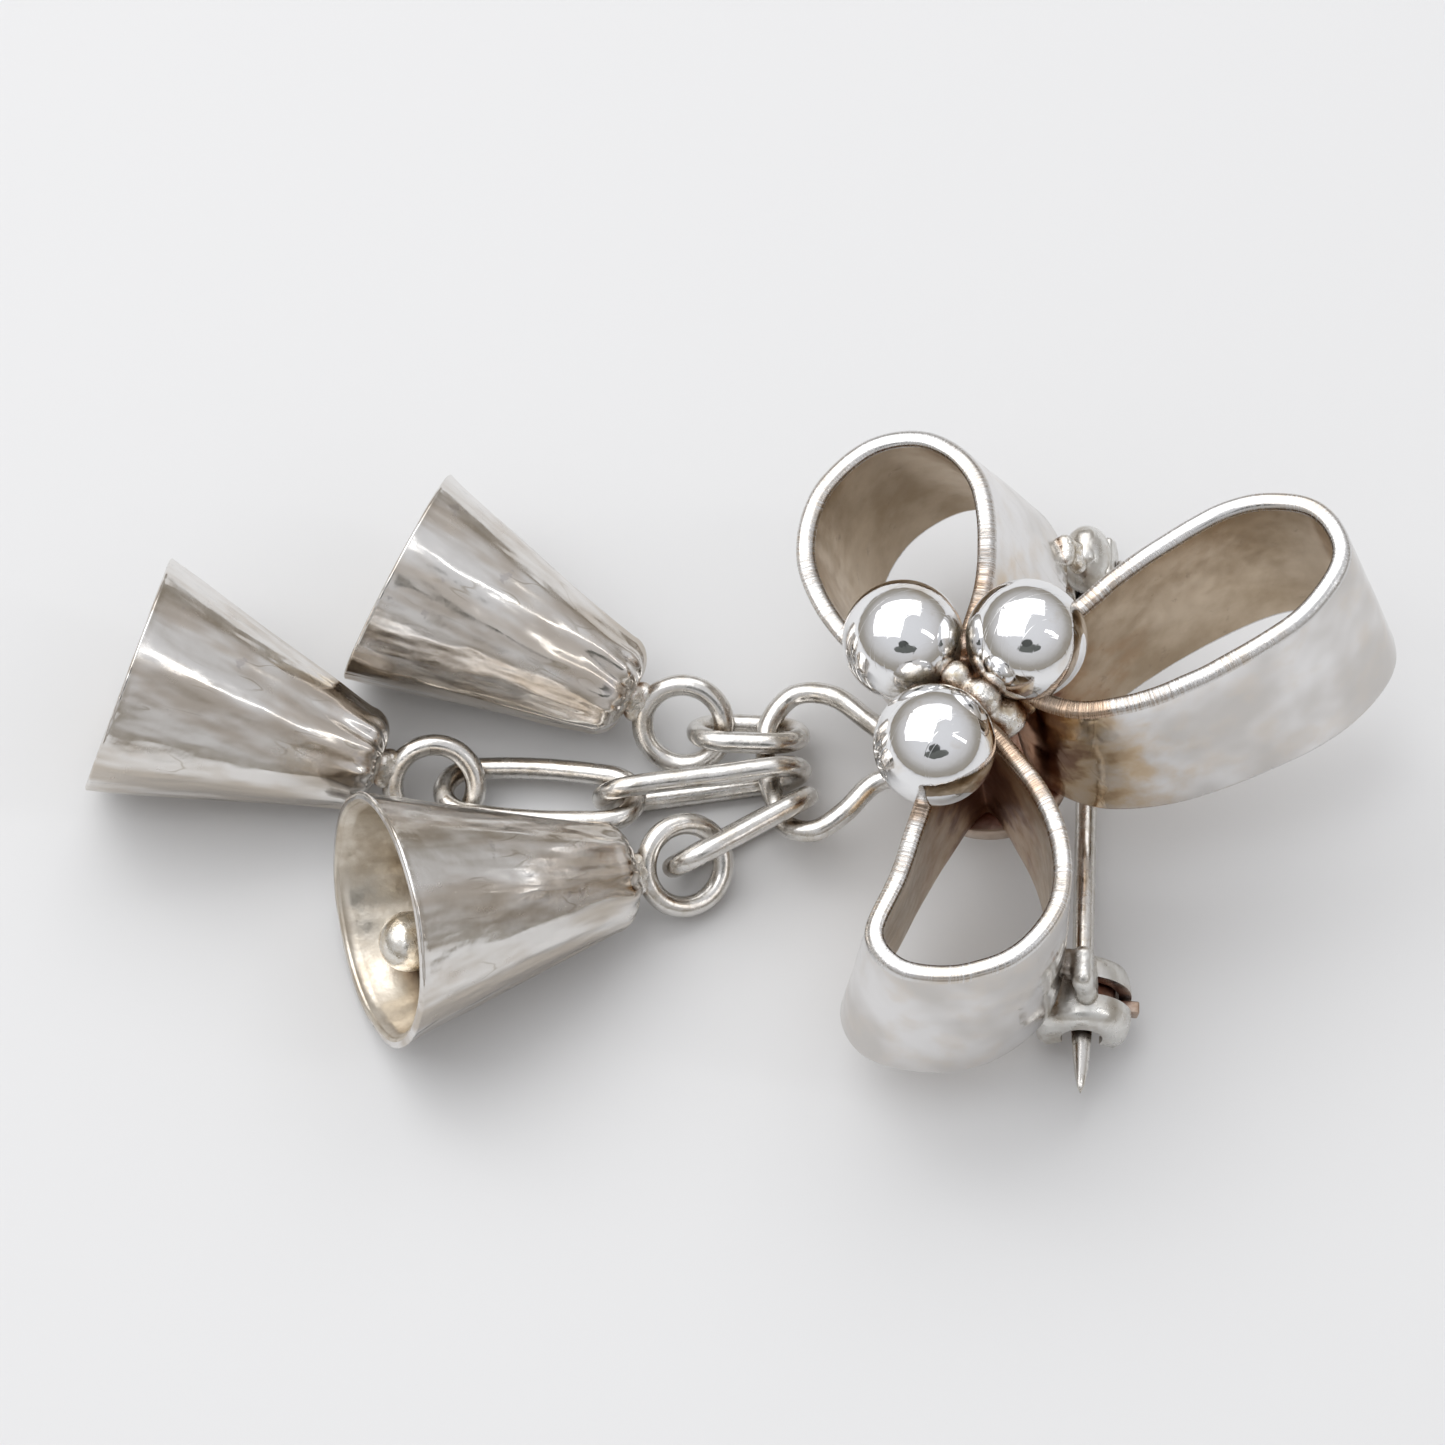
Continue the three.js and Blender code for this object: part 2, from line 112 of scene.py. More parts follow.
# The bail's route from above, measured from the knot. It climbs from its low end towards +X, at
# a slope in degrees.
BAIL_ROUTE = [
    (-2.3, 1.1), (-3.9, 1.2), (-5.8, 3.1), (-7.8, 5.05), (-9.6, 5.4), (-10.8, 4.1), (-10.95, 2.0),
    (-10.6, -0.1), (-9.95, -1.7), (-8.6, -2.2), (-7.2, -1.5), (-5.7, -0.2), (-4.0, 0.0), (-2.3, 0.0),
]
BAIL_LOW_END = {"x": -10.98, "z": -2.75}
BAIL_SLOPE = 22.0

PIN = {"length": 28.4, "taper": 4.0, "radius": 0.525}
HINGE = {
    "eye_radius": 1.2, "eye_width": 1.16, "ear_radius": 1.8, "ear_thickness": 0.65, "gap": 0.07,
    "rivet_radius": 0.42, "head_radius": 0.75, "head_height": 0.25,
    "bridge_low": 1.45, "bridge_high": 2.1, "foot_high": 3.4, "foot_half_width": 0.65,
    "foot_half_length": 1.1,
}
CATCH = {
    "outer_radius": 2.4, "end_radius": 1.8, "half_length": 1.8, "lip": 0.4, "lip_radius": 1.0,
    "bore_radius": 1.75, "rotor_radius": 1.6, "rotor_bore": 0.85, "rotor_gap": 0.1,
    "foot_high": 4.5, "slot": (197.0, 320.0), "groove": (-32.0, 70.0), "groove_half_width": 0.45,
    "lever_angle": -16.0, "lever_reach": 2.75, "lever_half_width": 0.33,
}


# ---- frames

joints = {joint["name"]: joint for joint in frame["joints"]}


def joint_point(name):
    return Vector(joints[name]["pos_m"])


def joint_axis(name):
    return Vector(joints[name]["axis"]).normalized()


def placing(origin, x_axis, z_axis):
    """A matrix from local millimetres to the row frame, with +Z exact and +X as near as it can be."""
    z_axis = z_axis.normalized()
    x_axis = (x_axis - z_axis * x_axis.dot(z_axis)).normalized()
    turn = Matrix((x_axis, z_axis.cross(x_axis), z_axis)).transposed().to_4x4()
    return Matrix.Translation(origin) @ turn @ Matrix.Scale(MM, 4)


def centre_of(node):
    low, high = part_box(node)
    return (low + high) / 2


def bow_placing():
    mount = frame["record"]["mounts"][0]
    front = -Vector(mount["axis"])
    plate_depth = (BACK_PLATE["thickness"] + BACK_PLATE["gap"]) * MM
    knot = Vector(mount["pos_m"]) + front * plate_depth
    return placing(knot, X, front)


BOW = bow_placing()
KNOT = BOW.translation.copy()
UPRIGHT_AT_KNOT = placing(KNOT, X, Z)
PIN_FRAME = placing(
    joint_point("pin_swing"),
    joint_axis("pin_swing"),
    joint_point("catch_turn") - joint_point("pin_swing"),
)
CATCH_FRAME = placing(joint_point("catch_turn"), joint_axis("pin_swing"), joint_axis("catch_turn"))
SOLDER_HEART = BOW @ Vector((0.5, -0.5, 4.0))


def clapper_pivot():
    """How far the clapper's pivot is from the top of the bell's crown."""
    return CROWN_WALL + HOOK["gap"] + 2 * HOOK["radius"] + HOOK["wire"] / 2


# ---- curves


def spline(points, closed, count):
    """Evenly spaced points on the centripetal Catmull-Rom curve through some points."""
    points = [Vector(point).to_3d() for point in points]
    size = len(points)
    spans = size if closed else size - 1
    if closed:
        around = [points[(index - 1) % size] for index in range(size + 3)]
    else:
        first = 2 * points[0] - points[1]
        last = 2 * points[-1] - points[-2]
        around = [first, *points, last]
    dense = []
    steps = 24
    for span in range(spans):
        corners = around[span:span + 4]
        knots = [0.0]
        for before, after in zip(corners, corners[1:]):
            knots.append(knots[-1] + math.sqrt((after - before).length))
        for step in range(steps):
            share = step / steps
            dense.append(_on_span(corners, knots, knots[1] + (knots[2] - knots[1]) * share))
    dense.append(points[0] if closed else points[-1])
    return evenly(dense, count, closed)


def _on_span(corners, knots, at):
    row = list(corners)
    for level in range(1, 4):
        row = [
            row[index].lerp(row[index + 1], _share(knots, index, level, at))
            for index in range(4 - level)
        ]
    return row[0]


def _share(knots, index, level, at):
    low, high = (1, 2) if level == 3 else (index, index + level)
    return (at - knots[low]) / (knots[high] - knots[low])


def evenly(route, count, closed):
    """count points spaced evenly along a dense route; a closed route doesn't repeat its first point."""
    lengths = [0.0]
    for before, after in zip(route, route[1:]):
        lengths.append(lengths[-1] + (after - before).length)
    spaces = count if closed else count - 1
    found, place = [], 0
    for index in range(count):
        target = lengths[-1] * index / spaces
        while place < len(route) - 2 and lengths[place + 1] < target:
            place += 1
        part = lengths[place + 1] - lengths[place]
        found.append(route[place].lerp(route[place + 1], (target - lengths[place]) / part if part else 0))
    return found


def arc(centre, radius, start, end, count):
    """Points on an arc in the plane, angles in degrees."""
    angles = [math.radians(start + (end - start) * index / (count - 1)) for index in range(count)]
    return [(centre[0] + radius * math.cos(a), centre[1] + radius * math.sin(a)) for a in angles]


def quarter(steps):
    """Angles from 0 to a right angle in equal steps."""
    return [math.pi / 2 * index / steps for index in range(steps + 1)]


# ---- mesh building


def surface(name, rows, matrix, closed_rows=False):
    """A mesh piece from rows of points, each row a closed ring. A row with one point is a pole.

    The "sweep" UV map holds millimetres along the rows and the share of the way round a row."""
    build = bmesh.new()
    uv_layer = build.loops.layers.uv.new("sweep")
    made = [[build.verts.new(point) for point in row] for row in rows]
    along = [0.0]
    for index in range(1, len(rows) + closed_rows):
        step = (rows[index % len(rows)][0] - rows[index - 1][0]).length
        along.append(along[-1] + step)
    for index in range(len(rows) - 1 + closed_rows):
        near, far = made[index], made[(index + 1) % len(rows)]
        size = max(len(near), len(far))
        for corner in range(size):
            after = (corner + 1) % size
            ring = []
            for vert, u, v in (
                (near[corner % len(near)], along[index], corner),
                (near[after % len(near)], along[index], corner + 1),
                (far[after % len(far)], along[index + 1], corner + 1),
                (far[corner % len(far)], along[index + 1], corner),
            ):
                if not ring or vert not in [entry[0] for entry in ring]:
                    ring.append((vert, u, v / size))
            face = build.faces.new([entry[0] for entry in ring])
            for loop, entry in zip(face.loops, ring):
                loop[uv_layer].uv = (entry[1], entry[2])
    if not closed_rows:
        for row in (made[0], made[-1]):
            if len(row) > 2:
                build.faces.new(row)
    bmesh.ops.recalc_face_normals(build, faces=build.faces)
    return smooth_piece(name, build, matrix)


def smooth_piece(name, build, matrix):
    for face in build.faces:
        face.smooth = True
    return piece_from(name, build, matrix)


def piece_from(name, build, matrix):
    """Turns a bmesh into a piece, and frees it."""
    mesh = bpy.data.meshes.new(name)
    build.to_mesh(mesh)
    build.free()
    return place(name, mesh, matrix)


def place(name, mesh, matrix):
    piece = add(name, mesh)
    piece.matrix_world = matrix
    return piece


def add(name, data):
    """Puts an object into the scene."""
    made = bpy.data.objects.new(name, data)
    bpy.context.scene.collection.objects.link(made)
    return made


def ruffle(point, size, seed):
    """Smooth noise between -1 and 1 at a point, with features of a size in millimetres."""
    return noise.noise(Vector(point) / size + Vector((seed, 2.3 * seed, -seed)))


def wire(name, route, flat_normal, radius, matrix, closed, seed=0.0, sides=20):
    """Round wire along a flat route, a little uneven, as hand-bent wire is."""
    rows = []
    count = len(route)
    for index, point in enumerate(route):
        before = route[(index - 1) % count] if closed else route[max(index - 1, 0)]
        after = route[(index + 1) % count] if closed else route[min(index + 1, count - 1)]
        ahead = (after - before).normalized()
        side = ahead.cross(flat_normal).normalized()
        row = []
        for corner in range(sides):
            angle = 2 * math.pi * corner / sides
            out = side * math.cos(angle) + flat_normal * math.sin(angle)
            uneven = WIRE_MEAN + WIRE_STRAY * ruffle(point + out * radius, 0.9, seed)
            row.append(point + out * radius * uneven)
        rows.append(row)
    return surface(name, rows, matrix, closed_rows=closed)


def ring_route(radius, centre, count=56):
    """A circle in the XZ plane round a point on the Z axis."""
    return [Vector((x, 0, z)) for x, z in arc((0, centre), radius, 0, 360, count + 1)[:-1]]


def lathe(name, profile, matrix, segments=96, shift=None):
    """A piece turned about Z. shift(radius, angle, z) gives each point's extra radius."""
    rows = []
    for radius, z in profile:
        if radius < 1e-6:
            rows.append([Vector((0, 0, z))])
            continue
        row = []
        for index in range(segments):
            angle = 2 * math.pi * index / segments
            wide = radius + (shift(radius, angle, z) if shift else 0)
            row.append(Vector((wide * math.cos(angle), wide * math.sin(angle), z)))
        rows.append(row)
    return surface(name, rows, matrix)


def solder(name, blobs, matrix, grain=0.12, seed=0.0):
    """Lumps of solder, given as (x, y, z, radius), that flow into each other."""
    build = bmesh.new()
    for x, y, z, radius in blobs:
        made = bmesh.ops.create_icosphere(build, subdivisions=3, radius=radius)
        for vert in made["verts"]:
            vert.co *= 1 + 0.12 * ruffle(vert.co + Vector((x, y, z)), 0.8, seed)
            vert.co += Vector((x, y, z))
    piece = piece_from(name, build, matrix)
    melt = piece.modifiers.new("melt", "REMESH")
    melt.mode = "VOXEL"
    melt.voxel_size = grain * MM
    melt.use_smooth_shade = True
    flow = piece.modifiers.new("flow", "SMOOTH")
    flow.factor = 0.8
    flow.iterations = 6
    return piece


def merge(name, parts):
    """Joins several pieces with the same placing into one."""
    build = bmesh.new()
    for part in parts:
        build.from_mesh(part.data)
    matrix = parts[0].matrix_world.copy()
    for part in parts:
        bpy.data.objects.remove(part)
    return piece_from(name, build, matrix)


def soften(piece, width, segments, angle):
    """Rounds the edges of a piece that are sharper than an angle in degrees."""
    edge = piece.modifiers.new("soft_edges", "BEVEL")
    edge.width = width * MM
    edge.segments = segments
    edge.limit_method = "ANGLE"
    edge.angle_limit = math.radians(angle)


def finish(piece, body, slot, nodes, *looks):
    """Moves the mesh to its place in the row frame, keeping its own millimetres as "local"."""
    keep = piece.data.attributes.new("local", "FLOAT_VECTOR", "POINT")
    for index, vert in enumerate(piece.data.vertices):
        keep.data[index].vector = vert.co
    piece.data.transform(piece.matrix_world)
    piece.matrix_world = Matrix.Identity(4)
    for look in looks:
        piece.data.materials.append(LOOKS[look])
    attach(piece, body)
    if nodes:
        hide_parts(*nodes)


# ---- materials


class Shader:
    """A small helper to write a node material as a list of calls."""

    def __init__(self, name):
        self.material = bpy.data.materials.new(name)
        self.material.use_nodes = True
        self.tree = self.material.node_tree
        self.surface = self.tree.nodes["Principled BSDF"]
        self.surface.inputs["Metallic"].default_value = 1.0

    def node(self, kind, settings=None, **inputs):
        made = self.tree.nodes.new("ShaderNode" + kind)
        for key, value in (settings or {}).items():
            setattr(made, key, value)
        for key, value in inputs.items():
            self.put(made.inputs[key.replace("_", " ")], value)
        return made

    def put(self, socket, value):
        if isinstance(value, bpy.types.NodeSocket):
            self.tree.links.new(value, socket)
        else:
            socket.default_value = value

    def points(self):
        """Places on the object, in millimetres."""
        return self.stretched(self.node("TexCoord").outputs["Object"], (1000, 1000, 1000))

    def local(self):
        """Places in the piece's own frame, in millimetres."""
        return self.node("Attribute", {"attribute_name": "local"}).outputs["Vector"]

    def sweep(self):
        return self.node("UVMap", {"uv_map": "sweep"}).outputs["UV"]

    def stretched(self, vector, scale):
        return self.node("Mapping", Vector=vector, Scale=scale).outputs["Vector"]

    def clouds(self, vector, scale, detail=4.0, roughness=0.55):
        return self.node(
            "TexNoise", Vector=vector, Scale=scale, Detail=detail, Roughness=roughness
        ).outputs["Fac"]

    def band(self, value, low, high, out_low=0.0, out_high=1.0):
        made = self.node("MapRange", {"interpolation_type": "SMOOTHSTEP"}, Value=value)
        for key, number in (
            ("From Min", low), ("From Max", high), ("To Min", out_low), ("To Max", out_high),
        ):
            made.inputs[key].default_value = number
        return made.outputs["Result"]

    def patches(self, at, scale, detail, low, high, out_low=0.0, out_high=1.0, roughness=0.55):
        """Clouds with a soft threshold."""
        return self.band(self.clouds(at, scale, detail, roughness), low, high, out_low, out_high)

    def math(self, operation, first, second):
        made = self.node("Math", {"operation": operation})
        self.put(made.inputs[0], first)
        self.put(made.inputs[1], second)
        return made.outputs["Value"]

    def times(self, first, second):
        return self.math("MULTIPLY", first, second)

    def blend(self, share, first, second):
        made = self.node("Mix", {"data_type": "RGBA"})
        self.put(made.inputs[0], share)
        self.put(made.inputs[6], first)
        self.put(made.inputs[7], second)
        return made.outputs[2]

    def stain(self, colour, mask, amount, tone):
        """A colour that turns towards a tone by an amount where the mask is 1."""
        return self.blend(self.times(mask, amount), colour, tone)

    def near_knot(self, at, near, far):
        """1 within a distance of the knot and 0 beyond another, in millimetres, with a ragged edge."""
        made = self.node("VectorMath", {"operation": "DISTANCE"})
        self.put(made.inputs[0], at)
        made.inputs[1].default_value = SOLDER_HEART / MM
        ragged = self.band(self.clouds(at, 0.5), 0.3, 0.7, -1.6, 1.6)
        return self.band(self.math("ADD", made.outputs["Value"], ragged), far, near)

    def crevice(self, reach):
        """1 deep in a corner and 0 in the open. reach is in millimetres."""
        made = self.node("AmbientOcclusion", {"samples": 6}, Distance=reach * MM)
        return self.band(made.outputs["AO"], 0.85, 0.35)

    def hairlines(self, vector, scale, tilt, thin=0.012):
        """Fine long scratches at an angle, as 1 on a line and 0 off it."""
        turned = self.node("Mapping", Vector=vector, Rotation=(tilt, tilt * 0.7, tilt * 1.9))
        long_way = self.stretched(turned.outputs["Vector"], (scale, scale * 0.03, scale * 0.03))
        value = self.clouds(long_way, 1.0, detail=1.0)
        off = self.math("ABSOLUTE", self.math("SUBTRACT", value, 0.5), 0.0)
        return self.band(off, thin, 0.0)

    def bump(self, height, depth, under=None):
        made = self.node("Bump", Height=height, Distance=depth * MM, Strength=1.0)
        if under is not None:
            self.put(made.inputs["Normal"], under)
        return made.outputs["Normal"]

    def done(self, colour, roughness, normal):
        self.put(self.surface.inputs["Base Color"], colour)
        self.put(self.surface.inputs["Roughness"], roughness)
        self.put(self.surface.inputs["Normal"], normal)
        return self.material


BEIGE_TARNISH = (0.60, 0.53, 0.45, 1)
OLIVE_TARNISH = (0.33, 0.28, 0.20, 1)
GREY_TARNISH = (0.46, 0.43, 0.42, 1)
RED_BROWN = (0.16, 0.055, 0.025, 1)
AMBER = (0.62, 0.42, 0.20, 1)


def mirror_silver():
    """The balls: mirror polish, with tarnish only where they meet the solder."""
    s = Shader("mirror_silver")
    at = s.points()
    clouds = s.clouds(at, 0.45, detail=5)
    crevice = s.times(s.crevice(1.3), s.patches(at, 1.6, 4, 0.3, 0.62))
    colour = s.blend(s.band(clouds, 0.52, 0.7, 0, 0.7), (0.87, 0.87, 0.875, 1), (0.72, 0.66, 0.58, 1))
    colour = s.blend(crevice, colour, OLIVE_TARNISH)
    rough = s.patches(at, 2.5, 4, 0.35, 0.75, 0.035, 0.12)
    rough = s.math("MAXIMUM", rough, s.times(crevice, 0.5))
    normal = s.bump(s.hairlines(at, 2.2, 0.6), 0.0015)
    normal = s.bump(s.clouds(at, 1.2, detail=2), 0.012, normal)
    return s.done(colour, rough, normal)


def ribbon_silver():
    """The outer faces of the ribbons: hand polish with soft waves and fine scratches, and large soft
    darker grey patches that are a painted reflection of the darker floor near the object.
    """
    s = Shader("ribbon_silver")
    at = s.points()
    # painted reflection: where these large soft patches rise, the colour below turns darker grey,
    # standing in for the darker floor that the polished outer faces reflect
    patches = s.patches(at, 0.14, 3, 0.40, 0.62)
    mottle = s.patches(at, 0.6, 6, 0.45, 0.72, 0.0, 0.45)
    colour = s.blend(patches, (0.80, 0.79, 0.785, 1), (0.60, 0.575, 0.55, 1))
    colour = s.blend(mottle, colour, (0.68, 0.61, 0.53, 1))
    colour = s.stain(colour, s.near_knot(at, 4.5, 10.0), 0.85, AMBER)
    colour = s.stain(colour, s.near_knot(at, 3.2, 6.0), 0.8, RED_BROWN)
    rough = s.patches(at, 1.1, 6, 0.3, 0.75, 0.08, 0.20)
    scratches = s.math("ADD", s.hairlines(at, 0.8, 0.4), s.hairlines(at, 1.1, 1.7, 0.008))
    normal = s.bump(scratches, 0.0025)
    normal = s.bump(s.clouds(at, 0.3, detail=2), 0.16, normal)
    normal = s.bump(s.clouds(at, 3.0, detail=2), 0.0015, normal)
    return s.done(colour, rough, normal)


def ribbon_inside():
    """The inner faces of the ribbons: uneven beige and brown tarnish."""
    s = Shader("ribbon_inside")
    at = s.points()
    big = s.patches(at, 0.22, 5, 0.34, 0.66)
    spots = s.patches(at, 1.1, 7, 0.60, 0.70, roughness=0.7)
    colour = s.blend(big, (0.63, 0.515, 0.385, 1), (0.42, 0.32, 0.215, 1))
    colour = s.stain(colour, spots, 0.5, (0.33, 0.25, 0.18, 1))
    colour = s.stain(colour, s.near_knot(at, 4.0, 9.0), 0.7, (0.40, 0.22, 0.10, 1))
    colour = s.stain(colour, s.near_knot(at, 3.0, 5.5), 0.9, RED_BROWN)
    rough = s.patches(at, 1.3, 5, 0.3, 0.7, 0.28, 0.42)
    normal = s.bump(s.clouds(at, 0.4, detail=2), 0.08)
    normal = s.bump(s.clouds(at, 3.0, detail=3), 0.004, normal)
    return s.done(colour, rough, normal)


def filed_edge():
    """The cut edges of the ribbons: file marks run across the thickness."""
    s = Shader("filed_edge")
    at, sweep = s.points(), s.sweep()
    across = s.clouds(s.stretched(sweep, (4.6, 0.35, 1.0)), 1.0, detail=5, roughness=0.7)
    marks = s.band(across, 0.38, 0.62)
    marks = s.times(marks, s.patches(at, 0.17, 4, 0.42, 0.62, 0.15, 1.0))
    grime = s.times(s.patches(at, 0.2, 4, 0.44, 0.62), s.band(across, 0.66, 0.42))
    colour = s.stain((0.70, 0.69, 0.68, 1), grime, 0.8, BEIGE_TARNISH)
    colour = s.stain(colour, s.near_knot(at, 6.5, 9.5), 0.85, (0.45, 0.30, 0.19, 1))
    lines = s.times(s.band(across, 0.55, 0.42), s.near_knot(at, 9.0, 14.0))
    colour = s.stain(colour, lines, 0.5, (0.45, 0.36, 0.28, 1))
    rough = s.band(across, 0.35, 0.7, 0.16, 0.34)
    normal = s.bump(marks, 0.012)
    normal = s.bump(lines, -0.008, normal)
    return s.done(colour, rough, normal)


def bell_silver():
    """The bells outside: worn polish, warm tarnish in long streaks and a few dark stains."""
    s = Shader("bell_silver")
    at = s.local()
    streaks = s.clouds(s.stretched(at, (1.0, 1.0, 0.14)), 0.42, detail=3)
    mottle = s.clouds(at, 0.5, detail=6, roughness=0.6)
    stains = s.patches(at, 0.36, 8, 0.635, 0.665, roughness=0.62)
    cracks = s.clouds(s.stretched(at, (1.0, 1.0, 0.10)), 0.55, detail=2)
    cracks = s.band(s.math("ABSOLUTE", s.math("SUBTRACT", cracks, 0.47), 0.0), 0.010, 0.0)
    broken = s.patches(at, 0.4, 2, 0.46, 0.66)
    colour = s.blend(s.band(streaks, 0.42, 0.62), (0.80, 0.78, 0.755, 1), (0.57, 0.515, 0.45, 1))
    colour = s.blend(s.band(mottle, 0.5, 0.75, 0.0, 0.5), colour, (0.62, 0.545, 0.47, 1))
    colour = s.stain(colour, stains, 0.5, GREY_TARNISH)
    colour = s.stain(colour, s.times(cracks, broken), 0.5, OLIVE_TARNISH)
    colour = s.stain(colour, s.crevice(0.9), 0.75, (0.36, 0.24, 0.13, 1))
    rough = s.patches(at, 0.9, 5, 0.3, 0.72, 0.13, 0.28)
    normal = s.bump(s.clouds(s.stretched(at, (1.0, 1.0, 0.14)), 0.6, detail=2), 0.20)
    normal = s.bump(s.clouds(at, 1.5, detail=2), 0.012, normal)
    return s.done(colour, rough, normal)


def bell_inside():
    s = Shader("bell_inside")
    at = s.points()
    big = s.patches(at, 0.4, 6, 0.38, 0.66)
    colour = s.blend(big, (0.72, 0.665, 0.58, 1), (0.52, 0.45, 0.36, 1))
    colour = s.blend(s.patches(at, 1.4, 6, 0.6, 0.8, 0, 0.5), colour, OLIVE_TARNISH)
    colour = s.stain(colour, s.crevice(1.2), 0.7, (0.30, 0.16, 0.06, 1))
    rough = s.patches(at, 1.6, 4, 0.3, 0.7, 0.30, 0.45)
    normal = s.bump(s.clouds(at, 0.9, detail=4), 0.05)
    return s.done(colour, rough, normal)


def wire_silver():
    """Drawn wire: fine lines along it, dull in the bends and bright where it rubs."""
    s = Shader("wire_silver")
    at, sweep = s.points(), s.sweep()
    lines = s.clouds(s.stretched(sweep, (0.25, 22.0, 1.0)), 1.0, detail=4, roughness=0.65)
    grime = s.patches(at, 0.9, 6, 0.46, 0.68, roughness=0.65)
    colour = s.stain((0.72, 0.70, 0.67, 1), grime, 0.6, (0.50, 0.45, 0.375, 1))
    colour = s.stain(colour, s.crevice(0.8), 0.75, (0.27, 0.19, 0.11, 1))
    rough = s.patches(at, 1.4, 4, 0.3, 0.7, 0.18, 0.32)
    normal = s.bump(lines, 0.004)
    normal = s.bump(s.clouds(at, 1.1, detail=3), 0.03, normal)
    return s.done(colour, rough, normal)


def solder_silver():
    """Solder: lumpy and bright on top, brown and orange in the hollows."""
    s = Shader("solder_silver")
    at = s.points()
    patches = s.patches(at, 1.2, 6, 0.45, 0.66, roughness=0.65)
    colour = s.blend(patches, (0.86, 0.84, 0.80, 1), (0.60, 0.52, 0.40, 1))
    colour = s.stain(colour, s.crevice(0.9), 0.85, (0.26, 0.14, 0.07, 1))
    rough = s.patches(at, 2.4, 5, 0.3, 0.7, 0.12, 0.42)
    normal = s.bump(s.clouds(at, 1.5, detail=5, roughness=0.6), 0.16)
    return s.done(colour, rough, normal)


def finding_silver():
    """The hinge and the catch: duller, grey, with darker recesses."""
    s = Shader("finding_silver")
    at = s.points()
    patches = s.patches(at, 0.8, 6, 0.42, 0.7)
    colour = s.blend(patches, (0.74, 0.73, 0.70, 1), (0.50, 0.46, 0.40, 1))
    colour = s.stain(colour, s.crevice(0.9), 0.85, (0.17, 0.12, 0.08, 1))
    rough = s.patches(at, 1.8, 5, 0.3, 0.7, 0.24, 0.42)
    normal = s.bump(s.clouds(at, 1.4, detail=5), 0.05)
    return s.done(colour, rough, normal)


def dark_tarnish():
    """The back plate and the catch's rotor: brown, with red-brown in the deep corners."""
    s = Shader("dark_tarnish")
    at = s.points()
    patches = s.patches(at, 0.6, 6, 0.4, 0.66)
    colour = s.blend(patches, (0.60, 0.50, 0.42, 1), (0.36, 0.24, 0.17, 1))
    colour = s.blend(s.crevice(2.2), colour, (0.12, 0.03, 0.015, 1))
    rough = s.patches(at, 1.6, 5, 0.3, 0.7, 0.3, 0.5)
    normal = s.bump(s.clouds(at, 1.8, detail=5), 0.05)
    return s.done(colour, rough, normal)


def clapper_silver():
    s = Shader("clapper_silver")
    at = s.points()
    patches = s.patches(at, 0.7, 5, 0.42, 0.66)
    colour = s.blend(patches, (0.88, 0.86, 0.81, 1), (0.66, 0.58, 0.46, 1))
    colour = s.stain(colour, s.crevice(0.8), 0.7, (0.30, 0.17, 0.07, 1))
    rough = s.patches(at, 1.8, 5, 0.3, 0.7, 0.16, 0.36)
    normal = s.bump(s.clouds(at, 0.9, detail=4), 0.10)
    return s.done(colour, rough, normal)


LOOKS = {
    make.__name__: make()
    for make in (
        mirror_silver, ribbon_silver, ribbon_inside, filed_edge, bell_silver, bell_inside,
        wire_silver, solder_silver, finding_silver, dark_tarnish, clapper_silver,
    )
}

# ---- the bow


def ribbon_section():
    """The ribbon's rounded section as (thickness, depth, face), face 0 outer, 1 inner and 2 edge."""
    half, corner = RIBBON_THICKNESS / 2, 0.34
    long_side = 14
    depths = [
        corner + (RIBBON_WIDTH - 2 * corner) * index / long_side for index in range(long_side + 1)
    ]
    section = [(half, depth, 0) for depth in depths]
    front = RIBBON_WIDTH - corner
    section += [(x, y, 2) for x, y in arc((half - corner, front), corner, 15, 90, 6)]
    section += [(x, y, 2) for x, y in arc((corner - half, front), corner, 90, 165, 6)]
    section += [(-half, depth, 1) for depth in reversed(depths)]
    section += [(x, y, 2) for x, y in arc((corner - half, corner), corner, 195, 270, 6)]
    section += [(x, y, 2) for x, y in arc((half - corner, corner), corner, 270, 345, 6)]
    return section


def ribbon(side, seed):
    shape = RIBBONS[side]
    line = spline(shape["edge"], True, 200)
    section = ribbon_section()
    rows = []
    for index, point in enumerate(line):
        ahead = (line[(index + 1) % len(line)] - line[index - 1]).normalized()
        out = Vector((ahead.y, -ahead.x, 0))
        row = []
        for thick, depth, _ in section:
            wave = 0.05 * ruffle((point.x, point.y, depth), 2.6, seed)
            lift = 0.07 * ruffle((point.x, point.y, 0), 1.6, seed + 5) * depth / RIBBON_WIDTH
            place_at = point + out * (thick + wave)
            to_back = 1 - depth / RIBBON_WIDTH
            turn = Matrix.Rotation(math.radians(shape["twist"]) * to_back, 3, "Z")
            growth = 1 + (shape["flare"] - 1) * to_back
            spread = turn @ Vector((place_at.x, place_at.y, 0)) * growth
            row.append(Vector((spread.x, spread.y, depth + lift)))
        rows.append(row)
    piece = surface(f"ribbon_{side}", rows, BOW, closed_rows=True)
    size = len(section)
    for index, face in enumerate(piece.data.polygons):
        corner = index % size
        here, after = section[corner][2], section[(corner + 1) % size][2]
        face.material_index = here if here == after else 2
    looks = "ribbon_silver", "ribbon_inside", "filed_edge"
    finish(piece, "brooch", "ribbon_silver", [f"bow_loop_{side}"], *looks)


def ball(node, seed):
    build = bmesh.new()
    bmesh.ops.create_icosphere(build, subdivisions=5, radius=BALL_RADIUS)
    for vert in build.verts:
        vert.co *= 1 + 0.006 * ruffle(vert.co, 1.9, seed)
    piece = smooth_piece("polished_" + node, build, placing(centre_of(node), X, Z))
    finish(piece, "brooch", "ball_silver", [node], "mirror_silver")


